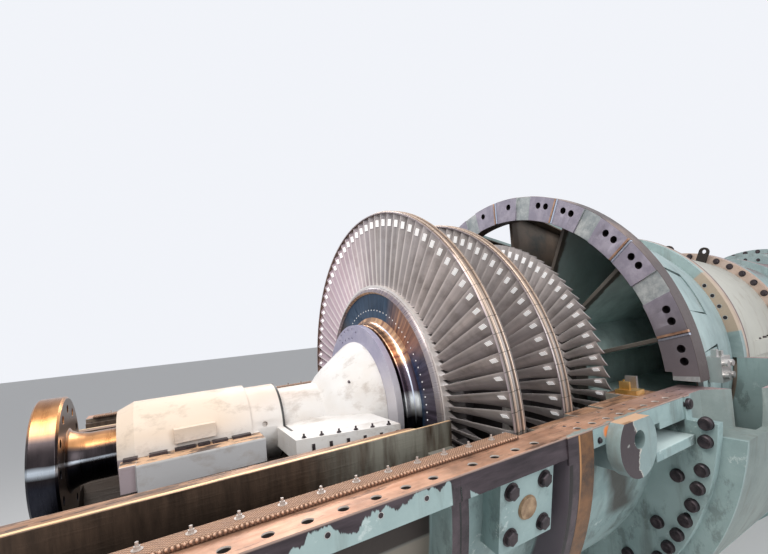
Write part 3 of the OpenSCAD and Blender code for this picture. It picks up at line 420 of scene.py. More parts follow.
# Lifting lugs: paint worn down to dark metal where the slings have rubbed.
def lug_paint_finish():
    """Green paint with a worn patch on the front and a bronze top."""
    finish = Finish("worn lug paint", "casing_paint")
    patch = finish.noise(3.4, 5, rough=0.6) + (finish.x.below(0.67, 0.12) - 0.5) * 0.24
    front = abs(finish.facing_x).below(0.5, 0.3) * abs(finish.y).above(2.03, 0.01)
    worn = patch.above(0.53, 0.02) * front
    halo = patch.between(0.5, 0.53, 0.02) * front
    colour = paint_on(finish, (0.32, 0.4, 0.39), (0.2, 0.27, 0.27), (0.13, 0.1, 0.07))
    colour = colour.tint((0.5, 0.47, 0.42), halo).tint((0.075, 0.058, 0.064), worn)
    topped = finish.facing_up.above(0.8, 0.2) * finish.z.above(-0.01, 0.005)
    finish.colour(mix(colour, (0.62, 0.36, 0.2), topped * 0.8))
    finish.metal(worn * 0.5)
    finish.roughness(0.55 - worn * 0.2)
    finish.bump(finish.noise(22, 6), 0.3, 0.004)
    return finish


lug_paint = lug_paint_finish()
dressed("lifting_lugs", lug_paint, 0.012)


# Strut covers' hardware: four dark hexagon bolts and a bronze plug on every cover, and small
# tapped holes along the side and on the top of the joint flange.
def stand(place, direction=(0, 0, 1)):
    """A matrix that stands its own Z along a direction, upwards unless another is given."""
    return Matrix.Translation(place) @ Vector(direction).to_track_quat("Z", "Y").to_matrix().to_4x4()


def rod(bm, matrix, radius, low, high, sides=12, top=None):
    """A cylinder or cone along the matrix's own Z."""
    top = radius if top is None else top
    made = bmesh.ops.create_cone(bm, cap_ends=True, segments=sides, radius1=radius, radius2=top,
                                 depth=high - low)
    middle = Matrix.Translation((0, 0, (low + high) / 2))
    bmesh.ops.transform(bm, matrix=matrix @ middle, verts=made["verts"])


def box(bm, matrix, low, high):
    """A box between two corners given in the matrix's own axes."""
    made = bmesh.ops.create_cube(bm, size=1)
    low = Vector(low)
    high = Vector(high)
    middle = Matrix.Translation((low + high) / 2) @ Matrix.Diagonal((*(high - low), 1))
    bmesh.ops.transform(bm, matrix=matrix @ middle, verts=made["verts"])


def around(degrees, x, radius):
    """The point at a radius from the rotor axis, turned from the top towards the near side."""
    a = math.radians(degrees)
    return at(x, -radius * math.sin(a), radius * math.cos(a))


def hex_bolt(bm, matrix, radius):
    """A washer and a hexagon head with a chamfered crown."""
    rod(bm, matrix, radius * 1.22, 0, radius * 0.14, 20)
    rod(bm, matrix, radius, radius * 0.14, radius * 0.62, 6)
    rod(bm, matrix, radius, radius * 0.62, radius * 0.76, 6, radius * 0.84)


SKIN = 0.0002
JOINT_SIDE = 1.96
COVER_ANGLES = (99.6, 140, 180, 220, 260.4)
COVER_X = -0.138
COVER_FACE = 1.915
COVER_BOLTS = (-0.124, 0.124)
SIDE_TAPS = 7
TAP_STEP = 0.223
TOP_TAPS = ((0.299, 1.823), (0.419, 1.831), (0.706, 1.78), (0.813, 1.805), (0.983, 1.791),
            (1.238, 1.8), (1.346, 1.815), (1.512, 1.821), (1.642, 1.848))
dark_steel = Finish("dark bolt steel", "dull_steel", Metallic=0.6)
oiled = dark_steel.noise(18, 4).above(0.5, 0.4)
dark_steel.colour(mix((0.022, 0.018, 0.022), (0.085, 0.065, 0.07), oiled))
dark_steel.roughness(0.36 + oiled * 0.15)
bronze = Finish("bronze plug", "insulation", Metallic=0.5, Roughness=0.4)
bronze.colour(mix((0.2, 0.12, 0.07), (0.46, 0.32, 0.2), bronze.noise(24, 4).above(0.5, 0.4)))
bolts = bmesh.new()
plugs = bmesh.new()
for angle in COVER_ANGLES:
    face = Matrix.Translation(at(COVER_X, 0, 0)) @ turned(angle)
    face = face @ Matrix.Translation((0, 0, COVER_FACE))
    for dx in COVER_BOLTS:
        for dy in COVER_BOLTS:
            hex_bolt(bolts, face @ Matrix.Translation((dx, dy, 0)), 0.04)
    rod(plugs, face, 0.067, 0, 0.004, 36)
    rod(plugs, face, 0.062, 0.004, 0.014, 36, 0.059)
keep(bolts, "cover_bolts", dark_steel)
keep(plugs, "cover_plugs", bronze)
taps = bmesh.new()
rims = bmesh.new()
for i in range(SIDE_TAPS):
    for s in (-1, 1):
        place = stand(at(-0.803 - i * TAP_STEP, s * (JOINT_SIDE + SKIN / 2), -0.048), (0, s, 0))
        rod(rims, place, 0.0135, 0, 0.0012, 16)
        rod(taps, place, 0.0112, 0.0012, 0.002, 12)
keep(taps, "tapped_holes", dark_steel)
bright_steel = Finish("bright steel", "dull_steel", Metallic=0.9, Roughness=0.32)
bright_steel.colour((0.62, 0.6, 0.58))
keep(rims, "tapped_hole_rims", bright_steel)
joint_lips = bmesh.new()
joint_taps = bmesh.new()
for x, y in TOP_TAPS:
    for s in (-1, 1):
        place = stand(at(x, s * y, SKIN))
        rod(joint_lips, place, 0.0125, 0, 0.001, 16)
        rod(joint_taps, place, 0.0095, 0.001, 0.0018, 14)
keep(joint_lips, "joint_tap_lips", bright_steel)
keep(joint_taps, "joint_taps", dark_steel)

# Shell flange hardware: two circles of round black caps on the flange in front of the wrapper,
# one cap on the side of the joint and a small plug beside the lug.
caps = bmesh.new()


def round_cap(bm, matrix, radius):
    """A round cap with a chamfered top and a small hexagon on it."""
    rod(bm, matrix, radius * 1.06, 0, radius * 0.16, 24)
    rod(bm, matrix, radius, radius * 0.16, radius * 0.72, 24)
    rod(bm, matrix, radius, radius * 0.72, radius * 0.86, 24, radius * 0.84)
    rod(bm, matrix, radius * 0.46, radius * 0.86, radius * 0.92, 6)


SHELL_FLANGE = 0.085
FLANGE_FACE_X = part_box("turbine_shell")[1][0] - EDGE_X - SHELL_FLANGE
OUTER_CAPS = [94.7, 98.2] + [104 + 152 / 39 * i for i in range(40)] + [261.8, 265.3]
INNER_CAPS = [start + 13 * i for start in (107.5, 187.5) for i in range(6)]
for angles, circle in ((OUTER_CAPS, 2.105), (INNER_CAPS, 1.965)):
    for angle in angles:
        round_cap(caps, stand(around(angle, FLANGE_FACE_X, circle), (-1, 0, 0)), 0.045)
for s in (-1, 1):
    round_cap(caps, stand(at(1.482, s * (JOINT_SIDE + SKIN), -0.06), (0, s, 0)), 0.04)
    hex_bolt(caps, stand(at(0.43, s * (JOINT_SIDE + SKIN), -0.085), (0, s, 0)), 0.016)
keep(caps, "flange_caps", dark_steel)


# Exhaust diffuser: two plate walls round an open annulus, dark from the hot gas. The inner wall
# has a bright top flange, and struts cross the annulus to carry the bearing.
def plate_finish(name, slot, dark, light, rough):
    """Streaked plate with painted shade inside the bearing's trough, and a scorched and slotted top
    edge.
    """
    finish = Finish(name, slot, Metallic=0.35)
    streaks = finish.noise(9, 6, stretch=(2.4, 2.4, 0.3), rough=0.65).above(0.5, 0.4)
    scratch = finish.noise(40, 3, stretch=(0.1, 1, 1)).above(0.6, 0.2)
    top = finish.facing_up.above(0.8, 0.2) * finish.z.above(-0.006, 0.004)
    wall = mix(dark, light, streaks)
    green = finish.noise(5, 6, stretch=(3, 3, 0.4)).above(0.48, 0.3) * finish.x.above(-0.85, 0.5)
    wall = wall.tint((0.3, 0.29, 0.24), green)
    out = abs(finish.y)
    # Painted shade on everything inside the bearing's trough, darkest deep in it.
    wall = wall.tint((0.018, 0.013, 0.01), out.below(1.02, 0.02))
    trough_shade = (finish.z - finish.x * 0.1).below(0.05, 0.16) * finish.x.below(-1.35, 0.6)
    wall = wall.tint((0.03, 0.02, 0.014), trough_shade * 0.8)
    scorch = finish.noise(9, 6, stretch=(0.5, 2, 1), rough=0.7).above(0.53, 0.12)
    bright = mix((0.34, 0.18, 0.1), (0.58, 0.36, 0.24), scratch)
    bright = bright.tint((0.06, 0.035, 0.025), scorch * 0.8)
    slot_row = (out + finish.x * 0.052).between(0.985, 0.996, 0.003)
    dash = slot_row * finish.x.repeat(0.11).below(0.07, 0.004)
    bright = bright.tint((0.07, 0.045, 0.03), dash)
    bright = bright.tint((0.9, 0.66, 0.36), out.between(1.135, 1.16, 0.004))
    finish.colour(mix(wall, bright, top))
    finish.roughness(rough - top * 0.1 + streaks * 0.1)
    finish.bump(streaks + scratch, 0.25, 0.003)
    return finish


diffuser_plate = plate_finish("diffuser plate", "diffuser_plate", (0.036, 0.022, 0.014),
                              (0.1, 0.06, 0.038), 0.5)
for node in ("diffuser_outer", "diffuser_inner"):
    dressed(node, diffuser_plate, 0.003)
dull_steel = plate_finish("dull steel", "dull_steel", (0.16, 0.15, 0.14), (0.33, 0.31, 0.29), 0.5)
for node in ("diffuser_struts", "bearing_pedestal", "stator_rings", "lifting_eyes"):
    dressed(node, dull_steel, 0.003)


# Insulation strips: quilted copper mesh laid on the casing's edge, hemmed with beads and held
# down by studs with washers and nuts.
WEAVE = 420
BEADS = 118
BEAD_STEP = 0.0186
STUDS = 13
STUD_STEP = 0.1625


def insulation_finish():
    """Woven copper wire over a quilted pad, darker at its hem."""
    finish = Finish("wire mesh", "insulation", Metallic=0.2, Roughness=0.55)
    weave = (finish.x * WEAVE).maths("SINE") * (finish.y * WEAVE).maths("SINE")
    quilt = finish.noise(18, 4).above(0.5, 0.4)
    colour = mix((0.17, 0.085, 0.045), (0.56, 0.33, 0.21), weave.above(0.0, 1.2))
    colour = colour.tint((0.2, 0.12, 0.085), quilt * 0.5)
    hem = finish.z.below(0.018, 0.004)
    finish.colour(mix(colour, (0.1, 0.06, 0.045), hem * 0.7))
    finish.bump(weave + quilt, 0.7, 0.004)
    return finish


insulation = insulation_finish()
dressed("insulation_strips", insulation, 0.008)
hem_wire = Finish("hem wire", "insulation", Metallic=0.3, Roughness=0.5)
hem_wire.colour((0.52, 0.33, 0.23))
beads = bmesh.new()
studs = bmesh.new()
for s in (-1, 1):
    for i in range(BEADS):
        place = Matrix.Translation(at(-2.26 + i * BEAD_STEP, s * 1.7985, 0.016))
        bmesh.ops.create_icosphere(beads, subdivisions=1, radius=0.0068, matrix=place)
    for i in range(STUDS):
        place = stand(at(-0.215 - i * STUD_STEP, s * 1.742, 0.023))
        rod(studs, place, 0.019, 0, 0.003, 20)
        rod(studs, place, 0.0115, 0.003, 0.014, 6)
        rod(studs, place, 0.006, 0.014, 0.028, 10)
keep(beads, "strip_beads", hem_wire, sharp=60)
stud_steel = Finish("stud steel", "dull_steel", Metallic=0.5, Roughness=0.4)
stud_steel.colour((0.5, 0.44, 0.4))
keep(studs, "strip_studs", stud_steel)


# White bearing tunnel, its cap section and the cone, which carry the exhaust-end bearing. They
# are welded plate in off-white paint, with soot and oil along the joint.
def white_paint_finish():
    """Clouded off-white paint, warm on the tunnel's top and oily on its joint."""
    finish = Finish("white paint", "white_paint")
    x = finish.x
    z = finish.z
    out = abs(finish.y)
    cloud = finish.noise(2.1, 6, rough=0.6).above(0.55, 0.3)
    soot = finish.noise(6.5, 7, stretch=(0.6, 1, 1), rough=0.7).above(0.6, 0.14)
    streak = finish.noise(11, 6, stretch=(0.5, 1, 1), rough=0.7)
    warm = x.below(-1.15, 0.5) * finish.radius.below(0.5, 0.01)
    coat = mix((0.76, 0.745, 0.73), (0.68, 0.63, 0.58), cloud)
    coat = coat.tint((0.68, 0.53, 0.39), warm * z.above(0.02, 0.2) * 0.8)
    crown = x.between(-1.2, -0.7, 0.2) * z.above(0.2, 0.15)
    coat = coat.tint((0.66, 0.46, 0.33), crown * 0.6)
    tunnel = x.below(-1.13, 0.02)
    coat = coat.tint((0.47, 0.465, 0.47), z.below(-0.012, 0.01) * tunnel)
    end = z.below(-0.004, 0.004) * x.below(-1.892, 0.004)
    coat = coat.tint((0.33, 0.25, 0.27), end * 0.8).tint((0.26, 0.18, 0.12), soot * 0.4)
    table = finish.facing_up.above(0.8, 0.2) * abs(z).below(0.012, 0.004) * tunnel
    oily = mix((0.07, 0.045, 0.035), (0.6, 0.37, 0.22), streak.above(0.48, 0.08))
    coat = coat.tint(oily, table * out.above(0.316, 0.004))
    slit = x.between(-0.972, -0.954, 0.003) * finish.radius.below(0.5, 0.01)
    coat = coat.tint((0.03, 0.027, 0.025), slit)
    finish.colour(coat)
    finish.roughness(0.5 - cloud * 0.12)
    finish.bump(finish.noise(28, 6, rough=0.7), 0.3, 0.003)
    return finish


white_paint = white_paint_finish()
for node in ("bearing_tunnel", "tunnel_side_boxes", "bearing_cone", "cone_joint_flange",
             "inlet_bearing"):
    dressed(node, white_paint, 0.004)

# Bearing tunnel's small parts: dark boxes as painted shade in the gaps between the packing
# blocks along the joint, bolts and slots on the cone's joint flange, and a sensor plug on the cone.
gap_shade_and_slots = bmesh.new()
nuts = bmesh.new()
GAPS = ((-1.955, -1.88), (-1.82, -1.72), (-1.68, -1.56), (-1.545, -1.475), (-1.46, -1.365),
        (-1.335, -1.215))
CONE_BOLTS = 6
CONE_BOLT_STEP = 0.11
for s in (-1, 1):
    # Dark boxes for the painted shade in the gaps between the packing blocks.
    for start, end in GAPS:
        row = Matrix.Translation(at(0, s * 0.352, SKIN))
        box(gap_shade_and_slots, row, (start, -0.026, 0), (end, 0.026, 0.016))
    for i in range(CONE_BOLTS):
        x = -0.955 + i * CONE_BOLT_STEP
        place = stand(at(x, s * (0.745 + i * 0.0327), 0))
        hex_bolt(nuts, place, 0.0135)
        rod(nuts, place, 0.007, 0.009, 0.026, 8)
        box(gap_shade_and_slots, Matrix.Translation(at(x + 0.045, s * (0.786 + i * 0.0299), -0.085)),
            (-0.01, -0.012, -0.045), (0.01, 0.012, 0.045))
rod(nuts, stand(at(-0.437, -0.335, 0.255), (-0.55, -0.6, 0.55)), 0.01, -0.02, 0.004, 12)
keep(gap_shade_and_slots, "tunnel_slots", dark_steel)
keep(nuts, "cone_flange_bolts", dark_steel)


# Support ring and the cone's front ring: machined faces with a mauve sheen. The ring's pads
# alternate with rough recesses, and a slot through each pad holds two strips.
COMBUSTORS = 14
RING_STEP = 360 / COMBUSTORS
RING_INNER = 1.738
RING_OUTER = 1.978


def machined_mauve_finish():
    """Mauve machined pads, rough recesses between them and a brown rim, with painted light and
    shade.
    """
    finish = Finish("machined mauve", "machined_mauve", Metallic=0.35)
    near_ring = finish.x.above(1.0, 0.1)
    sector = finish.angle.repeat(RING_STEP)
    recess = abs(sector - RING_STEP / 2).below(2.95, 0.12) * near_ring
    scuff = finish.noise(7, 7, rough=0.72).above(0.54, 0.2)
    sheen = mix((0.29, 0.265, 0.325), (0.4, 0.365, 0.43), scuff)
    # Painted shade on the lower pads.
    sheen = sheen.tint((0.15, 0.135, 0.15), abs(finish.angle).above(70, 14))
    lilac = mix((0.4, 0.385, 0.52), (0.5, 0.48, 0.6), scuff)
    # Painted light on the front ring's near, lower side.
    lilac = lilac.tint((0.66, 0.64, 0.68), finish.angle.above(62, 30))
    sheen = mix(lilac, sheen, near_ring)
    rough_face = mix((0.3, 0.33, 0.34), (0.52, 0.54, 0.53), scuff)
    face = mix(sheen, rough_face, recess)
    outside = finish.radius.above(1.977, 0.003)
    # Painted light on the upper part of the ring's rim.
    rim_top_light = finish.noise(1.5, 5).above(0.55, 0.15) * finish.angle.below(50, 20)
    rim_colour = mix((0.085, 0.066, 0.064), (0.36, 0.26, 0.22), rim_top_light)
    face = face.tint(rim_colour, outside)
    under = finish.radius.below(1.733, 0.003) * near_ring
    face = face.tint((0.1, 0.075, 0.07), under)
    bored = finish.x.between(1.702, 1.8, 0.001) * finish.radius.between(1.854, 1.922, 0.001)
    finish.colour(mix(face, (0.03, 0.024, 0.026), bored * (1 - recess)))
    finish.roughness(0.42 + scuff * 0.12)
    finish.bump(scuff, 0.25, 0.003)
    return finish


machined_mauve = machined_mauve_finish()
for node in ("support_ring", "cone_front_ring"):
    dressed(node, machined_mauve, 0.003)
copper_strips = bmesh.new()
steel_strips = bmesh.new()
for i in range(COMBUSTORS // 2):
    turn = Matrix.Translation(at(1.7, 0, 0)) @ turned(-90 + (i + 0.5) * RING_STEP)
    box(copper_strips, turn, (-0.004, 0.003, RING_INNER), (0.026, 0.0215, RING_OUTER))
    box(steel_strips, turn, (-0.004, -0.0215, RING_INNER), (0.026, -0.004, RING_OUTER))
copper = Finish("copper strip", "insulation", Metallic=0.6, Roughness=0.35)
copper.colour(mix((0.27, 0.15, 0.1), (0.6, 0.37, 0.25), copper.noise(14, 4).above(0.5, 0.3)))
keep(copper_strips, "ring_copper_strips", copper)
silver = Finish("silver strip", "dull_steel", Metallic=0.9, Roughness=0.22)
silver.colour((0.52, 0.56, 0.66))
keep(steel_strips, "ring_steel_strips", silver)


# Discharge frame: a welded cone with a window to every combustor, in pale green paint. Webs tie
# it to the inner barrel, and thin covers, lined inside, close five windows on the near side.
WINDOW_ENDS = ((2.045, 1.875), (2.795, 1.688))
WINDOW_WIDTH = 14
CLOSED_WINDOWS = range(1, 6)


def satin_casting(finish):
    """The sheen and fine bumps of paint on a casting."""
    finish.roughness(0.5 + finish.noise(9) * 0.1)
    finish.bump(finish.noise(22, 6), 0.3, 0.004)


def frame_paint_finish():
    """Pale green paint; inside, painted shade at the far side and painted light at the near side;
    rusty in front.
    """
    finish = Finish("frame paint", "casing_paint")
    pale = paint_on(finish, (0.4, 0.5, 0.49), (0.19, 0.26, 0.26), (0.11, 0.085, 0.06))
    inner = (finish.radius + (finish.x - 1.85) * 0.25).below(1.893, 0.004)
    rust_light_and_shade_noise = finish.noise(2.4, 6, rough=0.65).above(0.5, 0.3)
    # Painted shade on the inside at the far side and painted light on it at the near side.
    far_inner_shade = mix((0.022, 0.017, 0.013), (0.14, 0.085, 0.055), rust_light_and_shade_noise)
    pale = pale.tint(far_inner_shade, finish.angle.below(26, 26) * inner * 0.92)
    near_inner_light = mix((0.62, 0.76, 0.74), (0.36, 0.46, 0.45), rust_light_and_shade_noise)
    pale = pale.tint(near_inner_light, finish.angle.above(30, 20) * inner)
    rusted = finish.x.below(1.99 + rust_light_and_shade_noise * 0.05, 0.03) * inner
    pale = pale.tint((0.06, 0.034, 0.02), rusted * 0.9)
    petal = finish.x.above(3.578, 0.004) * abs(finish.angle).between(53, 79.5, 0.6)
    petal = petal * finish.radius.above(1.484, 0.006)
    finish.colour(mix(pale, (0.46, 0.36, 0.27), petal))
    satin_casting(finish)
    return finish


frame_paint = frame_paint_finish()
for node in ("discharge_frame", "frame_webs", "inner_barrel"):
    dressed(node, frame_paint, 0.006)
covers = bmesh.new()
linings = bmesh.new()
front, back = WINDOW_ENDS
for bm, low, high in ((covers, 0.022, 0.004), (linings, 0.044, 0.026)):
    corners = ((front, low), (back, low), (back, high), (front, high))
    for i in CLOSED_WINDOWS:
        start = (i + 0.5) * RING_STEP - WINDOW_WIDTH / 2
        face = bm.faces.new([bm.verts.new(around(start, x, radius - drop))
                             for (x, radius), drop in corners])
        bmesh.ops.spin(bm, geom=[face], axis=(1, 0, 0), cent=at(0, 0, 0),
                       angle=math.radians(WINDOW_WIDTH), steps=6)
    bmesh.ops.recalc_face_normals(bm, faces=bm.faces)
keep(covers, "window_covers", frame_paint)
keep(linings, "window_linings", dark_steel)
petal_holes = bmesh.new()
petal_rims = bmesh.new()
for angle in (58.0, 63.2, 68.3, 73.4):
    for s in (-1, 1):
        place = stand(around(s * angle, 3.5846, 1.532), (-1, 0, 0))
        rod(petal_rims, place, 0.026, 0, 0.0012, 24)
        rod(petal_holes, place, 0.021, 0.0012, 0.002, 20)
keep(petal_rims, "petal_hole_rims", bright_steel)
keep(petal_holes, "petal_holes", dark_steel)

# Fittings on the joint beside the ring: a brass block with a clamp and pins, and a valve block
# behind the ring.
gold = Finish("brass fittings", "insulation", Metallic=0.8, Roughness=0.3)
gold.colour(mix((0.62, 0.36, 0.1), (0.85, 0.6, 0.26), gold.noise(12, 4).above(0.5, 0.4)))
brass = bmesh.new()
steels = bmesh.new()
for s in (-1, 1):
    base = Matrix.Translation(at(0, s * 1.6, SKIN))
    box(brass, base, (1.285, -0.115, 0), (1.395, 0.055, 0.034))
    box(brass, base, (1.305, -0.05, 0.034), (1.33, 0.03, 0.095))
    rod(brass, base @ Matrix.Translation((1.44, 0.07, 0)), 0.008, 0, 0.085, 10)
    rod(brass, base @ Matrix.Translation((1.48, 0.045, 0)), 0.008, 0, 0.07, 10)
    box(steels, base, (1.4, -0.055, 0), (1.425, 0.035, 0.125))
    box(steels, base, (1.425, -0.03, 0), (1.46, 0.01, 0.06))
    valve = Matrix.Translation(at(2.05, s * 1.93, SKIN))
    box(steels, valve, (0, -0.055, 0), (0.175, 0.055, 0.205))
    for dx in (0.045, 0.13):
        for dz in (0.055, 0.15):
            cap = valve @ Matrix.Translation((dx, s * 0.055, dz))
            rod(steels, cap @ turned(-90 * s), 0.026, 0, 0.035, 16)
    box(steels, valve, (0.02, -0.02, 0.205), (0.06, 0.02, 0.265))
    box(steels, valve, (0.11, -0.02, 0.205), (0.15, 0.02, 0.245))
keep(brass, "brass_fittings", gold)
keep(steels, "steel_fittings", bright_steel)


# Discharge casing: cream paint between a tan flange and a peach one.
def cream_paint_finish():
    """Cream paint with a tan flange in front and a peach flange behind."""
    finish = Finish("cream paint", "cream_paint")
    cream = paint_on(finish, (0.52, 0.51, 0.45), (0.42, 0.41, 0.36), (0.24, 0.18, 0.13))
    tan = mix((0.5, 0.4, 0.33), (0.38, 0.28, 0.22), finish.noise(5).above(0.5, 0.3))
    cream = cream.tint(tan, finish.x.below(3.735, 0.006))
    lip = finish.x.between(3.7, 3.735, 0.004) * finish.radius.above(1.6, 0.002)
    cream = cream.tint((0.16, 0.115, 0.11), lip)
    peach = mix((0.56, 0.42, 0.35), (0.42, 0.27, 0.19), finish.noise(3).above(0.5, 0.3))
    finish.colour(mix(cream, peach, finish.x.above(5.648, 0.006)))
    satin_casting(finish)
    return finish


cream_paint = cream_paint_finish()
dressed("discharge_casing", cream_paint, 0.006)

# Bolting of the closed casings: hexagon heads round the ring flanges, nuts along the horizontal
# joint and anchor nuts on the feet.
BOLT_CIRCLES = ((3.654, 1.562, 44, 0.022), (5.649, 1.365, 44, 0.037), (8.419, 1.325, 40, 0.026),
                (9.089, 1.505, 44, 0.034))
FEET = ((-2.02, 1.15), (-0.916, 1.15), (7.19, 0.62), (9.12, 0.8))
FOOT_TOP = 0.06
JOINT_NUTS = 11
heads = bmesh.new()
for x, radius, count, size in BOLT_CIRCLES:
    for i in range(count):
        place = around((i + 0.5) * 360 / count, x, radius)
        if x > 3.7 or place.z > AXIS_Z + 0.05:
            hex_bolt(heads, stand(place, (-1, 0, 0)), size)
for s in (-1, 1):
    for i in range(JOINT_NUTS):
        hex_bolt(heads, stand(at(3.8 + i * 0.18, s * 1.385, 0.0902)), 0.026)
        hex_bolt(heads, stand(at(5.95 + i * 0.235, s * 1.375, SKIN)), 0.026)
    for x, y in FEET:
        for dx in (-0.17, 0.17):
            for dy in (-0.25, 0.25):
                place = stand(at(x + dx, s * (y + dy), FOOT_TOP - AXIS_Z))
                hex_bolt(heads, place, 0.036)
                rod(heads, place, 0.016, 0.027, 0.06, 12)
keep(heads, "casing_bolts", dark_steel)


# Rotor shaft: the coupling flanges, the journal and the drum are turned and polished. Painted
# reflections lie on them in warm and cold bands, and the couplings' flat ends are plain.
def turned_finish():
    """Mirror-turned steel with painted reflections: bronze above, blue-black below, a bright line
    between.
    """
    finish = Finish("polished steel", "polished_steel", Metallic=1.0)
    lines = finish.noise(1, 4, stretch=(60, 0.3, 0.3)).above(0.5, 0.5)
    drift = abs(finish.angle) + (finish.noise(1.7, 3) - 0.5) * 12
    smear = finish.noise(4.1, 5, stretch=(2.5, 1, 1)).above(0.5, 0.4)
    # Painted reflections by angle round the axis: bronze, plum, a bright line, then blue-black.
    bronze_reflection = mix((0.4, 0.17, 0.06), (0.72, 0.36, 0.155), smear)
    band = (abs(finish.angle) / 9 + smear * 0.5).maths("SINE").above(0.1, 0.7)
    bronze_reflection = bronze_reflection.tint((0.12, 0.05, 0.028), band * 0.45)
    plum_reflection = mix((0.022, 0.019, 0.02), (0.06, 0.048, 0.05), smear)
    dark_reflection = mix((0.012, 0.013, 0.02), (0.04, 0.042, 0.055), smear)
    tone = mix((0.22, 0.16, 0.13), bronze_reflection, drift.between(2, 56, 12))
    tone = tone.tint(plum_reflection, drift.above(55, 12)).tint((0.62, 0.68, 0.74), drift.between(81, 87, 4))
    tone = tone.tint(dark_reflection, drift.above(92, 8))
    # Painted reflections on the drum: amber streaks, dark mauve, a white highlight and a bright arc.
    on_drum = finish.x.between(-0.3, 2.0, 0.01)
    streaky = finish.noise(2, 5, stretch=(0.7, 1, 9), vector=finish.polar()).above(0.5, 0.4)
    amber_reflection = mix((0.2, 0.085, 0.075), (0.95, 0.58, 0.32), streaky)
    tone = tone.tint(amber_reflection, on_drum * drift.between(4, 60, 10))
    tone = tone.tint((0.105, 0.08, 0.105), on_drum * drift.between(60, 80, 6))
    tone = tone.tint((0.95, 1.0, 1.0), on_drum * drift.between(80, 90, 5))
    arc_highlight = finish.radius.between(0.7125, 0.7185, 0.003) * on_drum * drift.between(8, 92, 10)
    tone = tone.tint((0.8, 0.86, 1.0), arc_highlight)
    end_face = abs(finish.facing_x).above(0.9, 0.1) * (1 - on_drum)
    plain = mix((0.2, 0.155, 0.13), (0.34, 0.27, 0.23), smear)
    finish.colour(mix(tone, plain, end_face))
    finish.roughness(lines * 0.08 + smear * 0.06 + 0.22)
    finish.bump(lines, 0.12, 0.001)
    return finish


polished = turned_finish()
for node in ("rear_coupling", "rear_shaft", "rear_drum", "front_coupling"):
    dressed(node, polished, 0.003)


# Wheels: turned forgings, with painted blue and bronze reflections on the web, a mauve rim ring
# with a painted highlight and pale platforms in painted light and shade. A circle of small white
# marks runs round the last wheel.
BLADE_COUNT = 90
PITCH = 360 / BLADE_COUNT
MIDDLE_ROW = 0.573
FIRST_ROW = 1.302


def row_depth(finish):
    """How far a point lies behind the exhaust-side edge of its own blade row."""
    past_last = finish.x.above(0.4, 0.01) * MIDDLE_ROW
    return finish.x - past_last - finish.x.above(1.2, 0.01) * (FIRST_ROW - MIDDLE_ROW)


def rotor_steel_finish():
    """Dark webs with painted reflections, a mauve rim with a painted highlight, pale platforms with
    painted saw-tooth shade.
    """
    finish = Finish("rotor steel", "rotor_steel", Metallic=0.65)
    rays = finish.noise(2, 5, stretch=(1, 0.4, 14), vector=finish.polar()).above(0.5, 0.5)
    web_tone_and_reflections = mix((0.014, 0.038, 0.078), (0.055, 0.105, 0.18), rays)
    bronze_disc_reflection = mix((0.08, 0.045, 0.055), (0.66, 0.36, 0.22), rays)
    blue = mix((0.02, 0.035, 0.085), (0.07, 0.12, 0.26), rays)
    outer_web = finish.radius.above(0.86, 0.12)
    # Painted reflections by angle on the web: bronze, blue, dark and, on the far side, brown.
    web_tone_and_reflections = web_tone_and_reflections.tint(bronze_disc_reflection, finish.angle.between(28, 57, 14))
    web_tone_and_reflections = web_tone_and_reflections.tint(blue, finish.angle.between(55, 84, 12) * (1 - outer_web))
    dark_reflection = mix((0.02, 0.017, 0.026), (0.17, 0.14, 0.19), rays)
    web_tone_and_reflections = web_tone_and_reflections.tint(dark_reflection, finish.angle.above(64, 16) * finish.radius.above(0.8, 0.06))
    web_tone_and_reflections = web_tone_and_reflections.tint((0.1, 0.065, 0.04), finish.angle.below(-42, 18))
    rim_tone_and_light = mix((0.2, 0.17, 0.22), (0.33, 0.26, 0.24), rays)
    # Painted light on the rim's near side, and a painted highlight along its outer edge.
    rim_tone_and_light = rim_tone_and_light.tint((0.3, 0.27, 0.28), finish.angle.above(60, 30))
    rim_edge_highlight = finish.radius.between(0.985, 1.0, 0.003) * finish.angle.between(-20, 80, 30)
    rim_tone_and_light = rim_tone_and_light.tint((0.86, 0.58, 0.36), rim_edge_highlight)
    rim_tone_and_light = rim_tone_and_light.tint((0.46, 0.41, 0.4), finish.radius.above(1.03, 0.006))
    on_rim = finish.radius.between(0.984, 1.043, 0.003) * finish.x.below(0.05, 0.01)
    platform = finish.radius.above(1.043, 0.003)
    # Painted light on the platforms at each row's front, painted shade deeper between the blades.
    toothed = row_depth(finish) - finish.angle.repeat(PITCH) * 0.02
    pale = mix((0.8, 0.75, 0.72), (0.055, 0.048, 0.046), toothed.above(0.004, 0.012))
    steel = mix(web_tone_and_reflections, rim_tone_and_light, on_rim).tint(pale, platform)
    hidden = finish.x.above(0.1, 0.05) * (1 - platform)
    finish.colour(mix(steel, (0.1, 0.09, 0.09), hidden))
    finish.roughness(0.36 - on_rim * 0.12 + rays * 0.08)
    finish.bump(rays, 0.15, 0.002)
    return finish


rotor_steel = rotor_steel_finish()
for node in ("wheel_3", "wheel_2", "wheel_1", "forward_shaft", "compressor_drum"):
    dressed(node, rotor_steel, 0.002)
glowing_marks = Finish("white marks", "white_paint", Roughness=0.6)
glowing_marks.colour((0.9, 0.89, 0.88))
# A faint glow on the marks and the blade tags is painted light.
glowing_marks.plug(glowing_marks.shader.inputs["Emission Color"], (0.9, 0.9, 0.9))
glowing_marks.plug(glowing_marks.shader.inputs["Emission Strength"], 0.35)
dots = bmesh.new()
for i in range(BLADE_COUNT):
    rod(dots, stand(around((i + 0.5) * PITCH, -0.028, 0.832), (-1, 0, 0)), 0.0055, 0, 0.002, 8)
keep(dots, "wheel_marks", glowing_marks, "rotor")

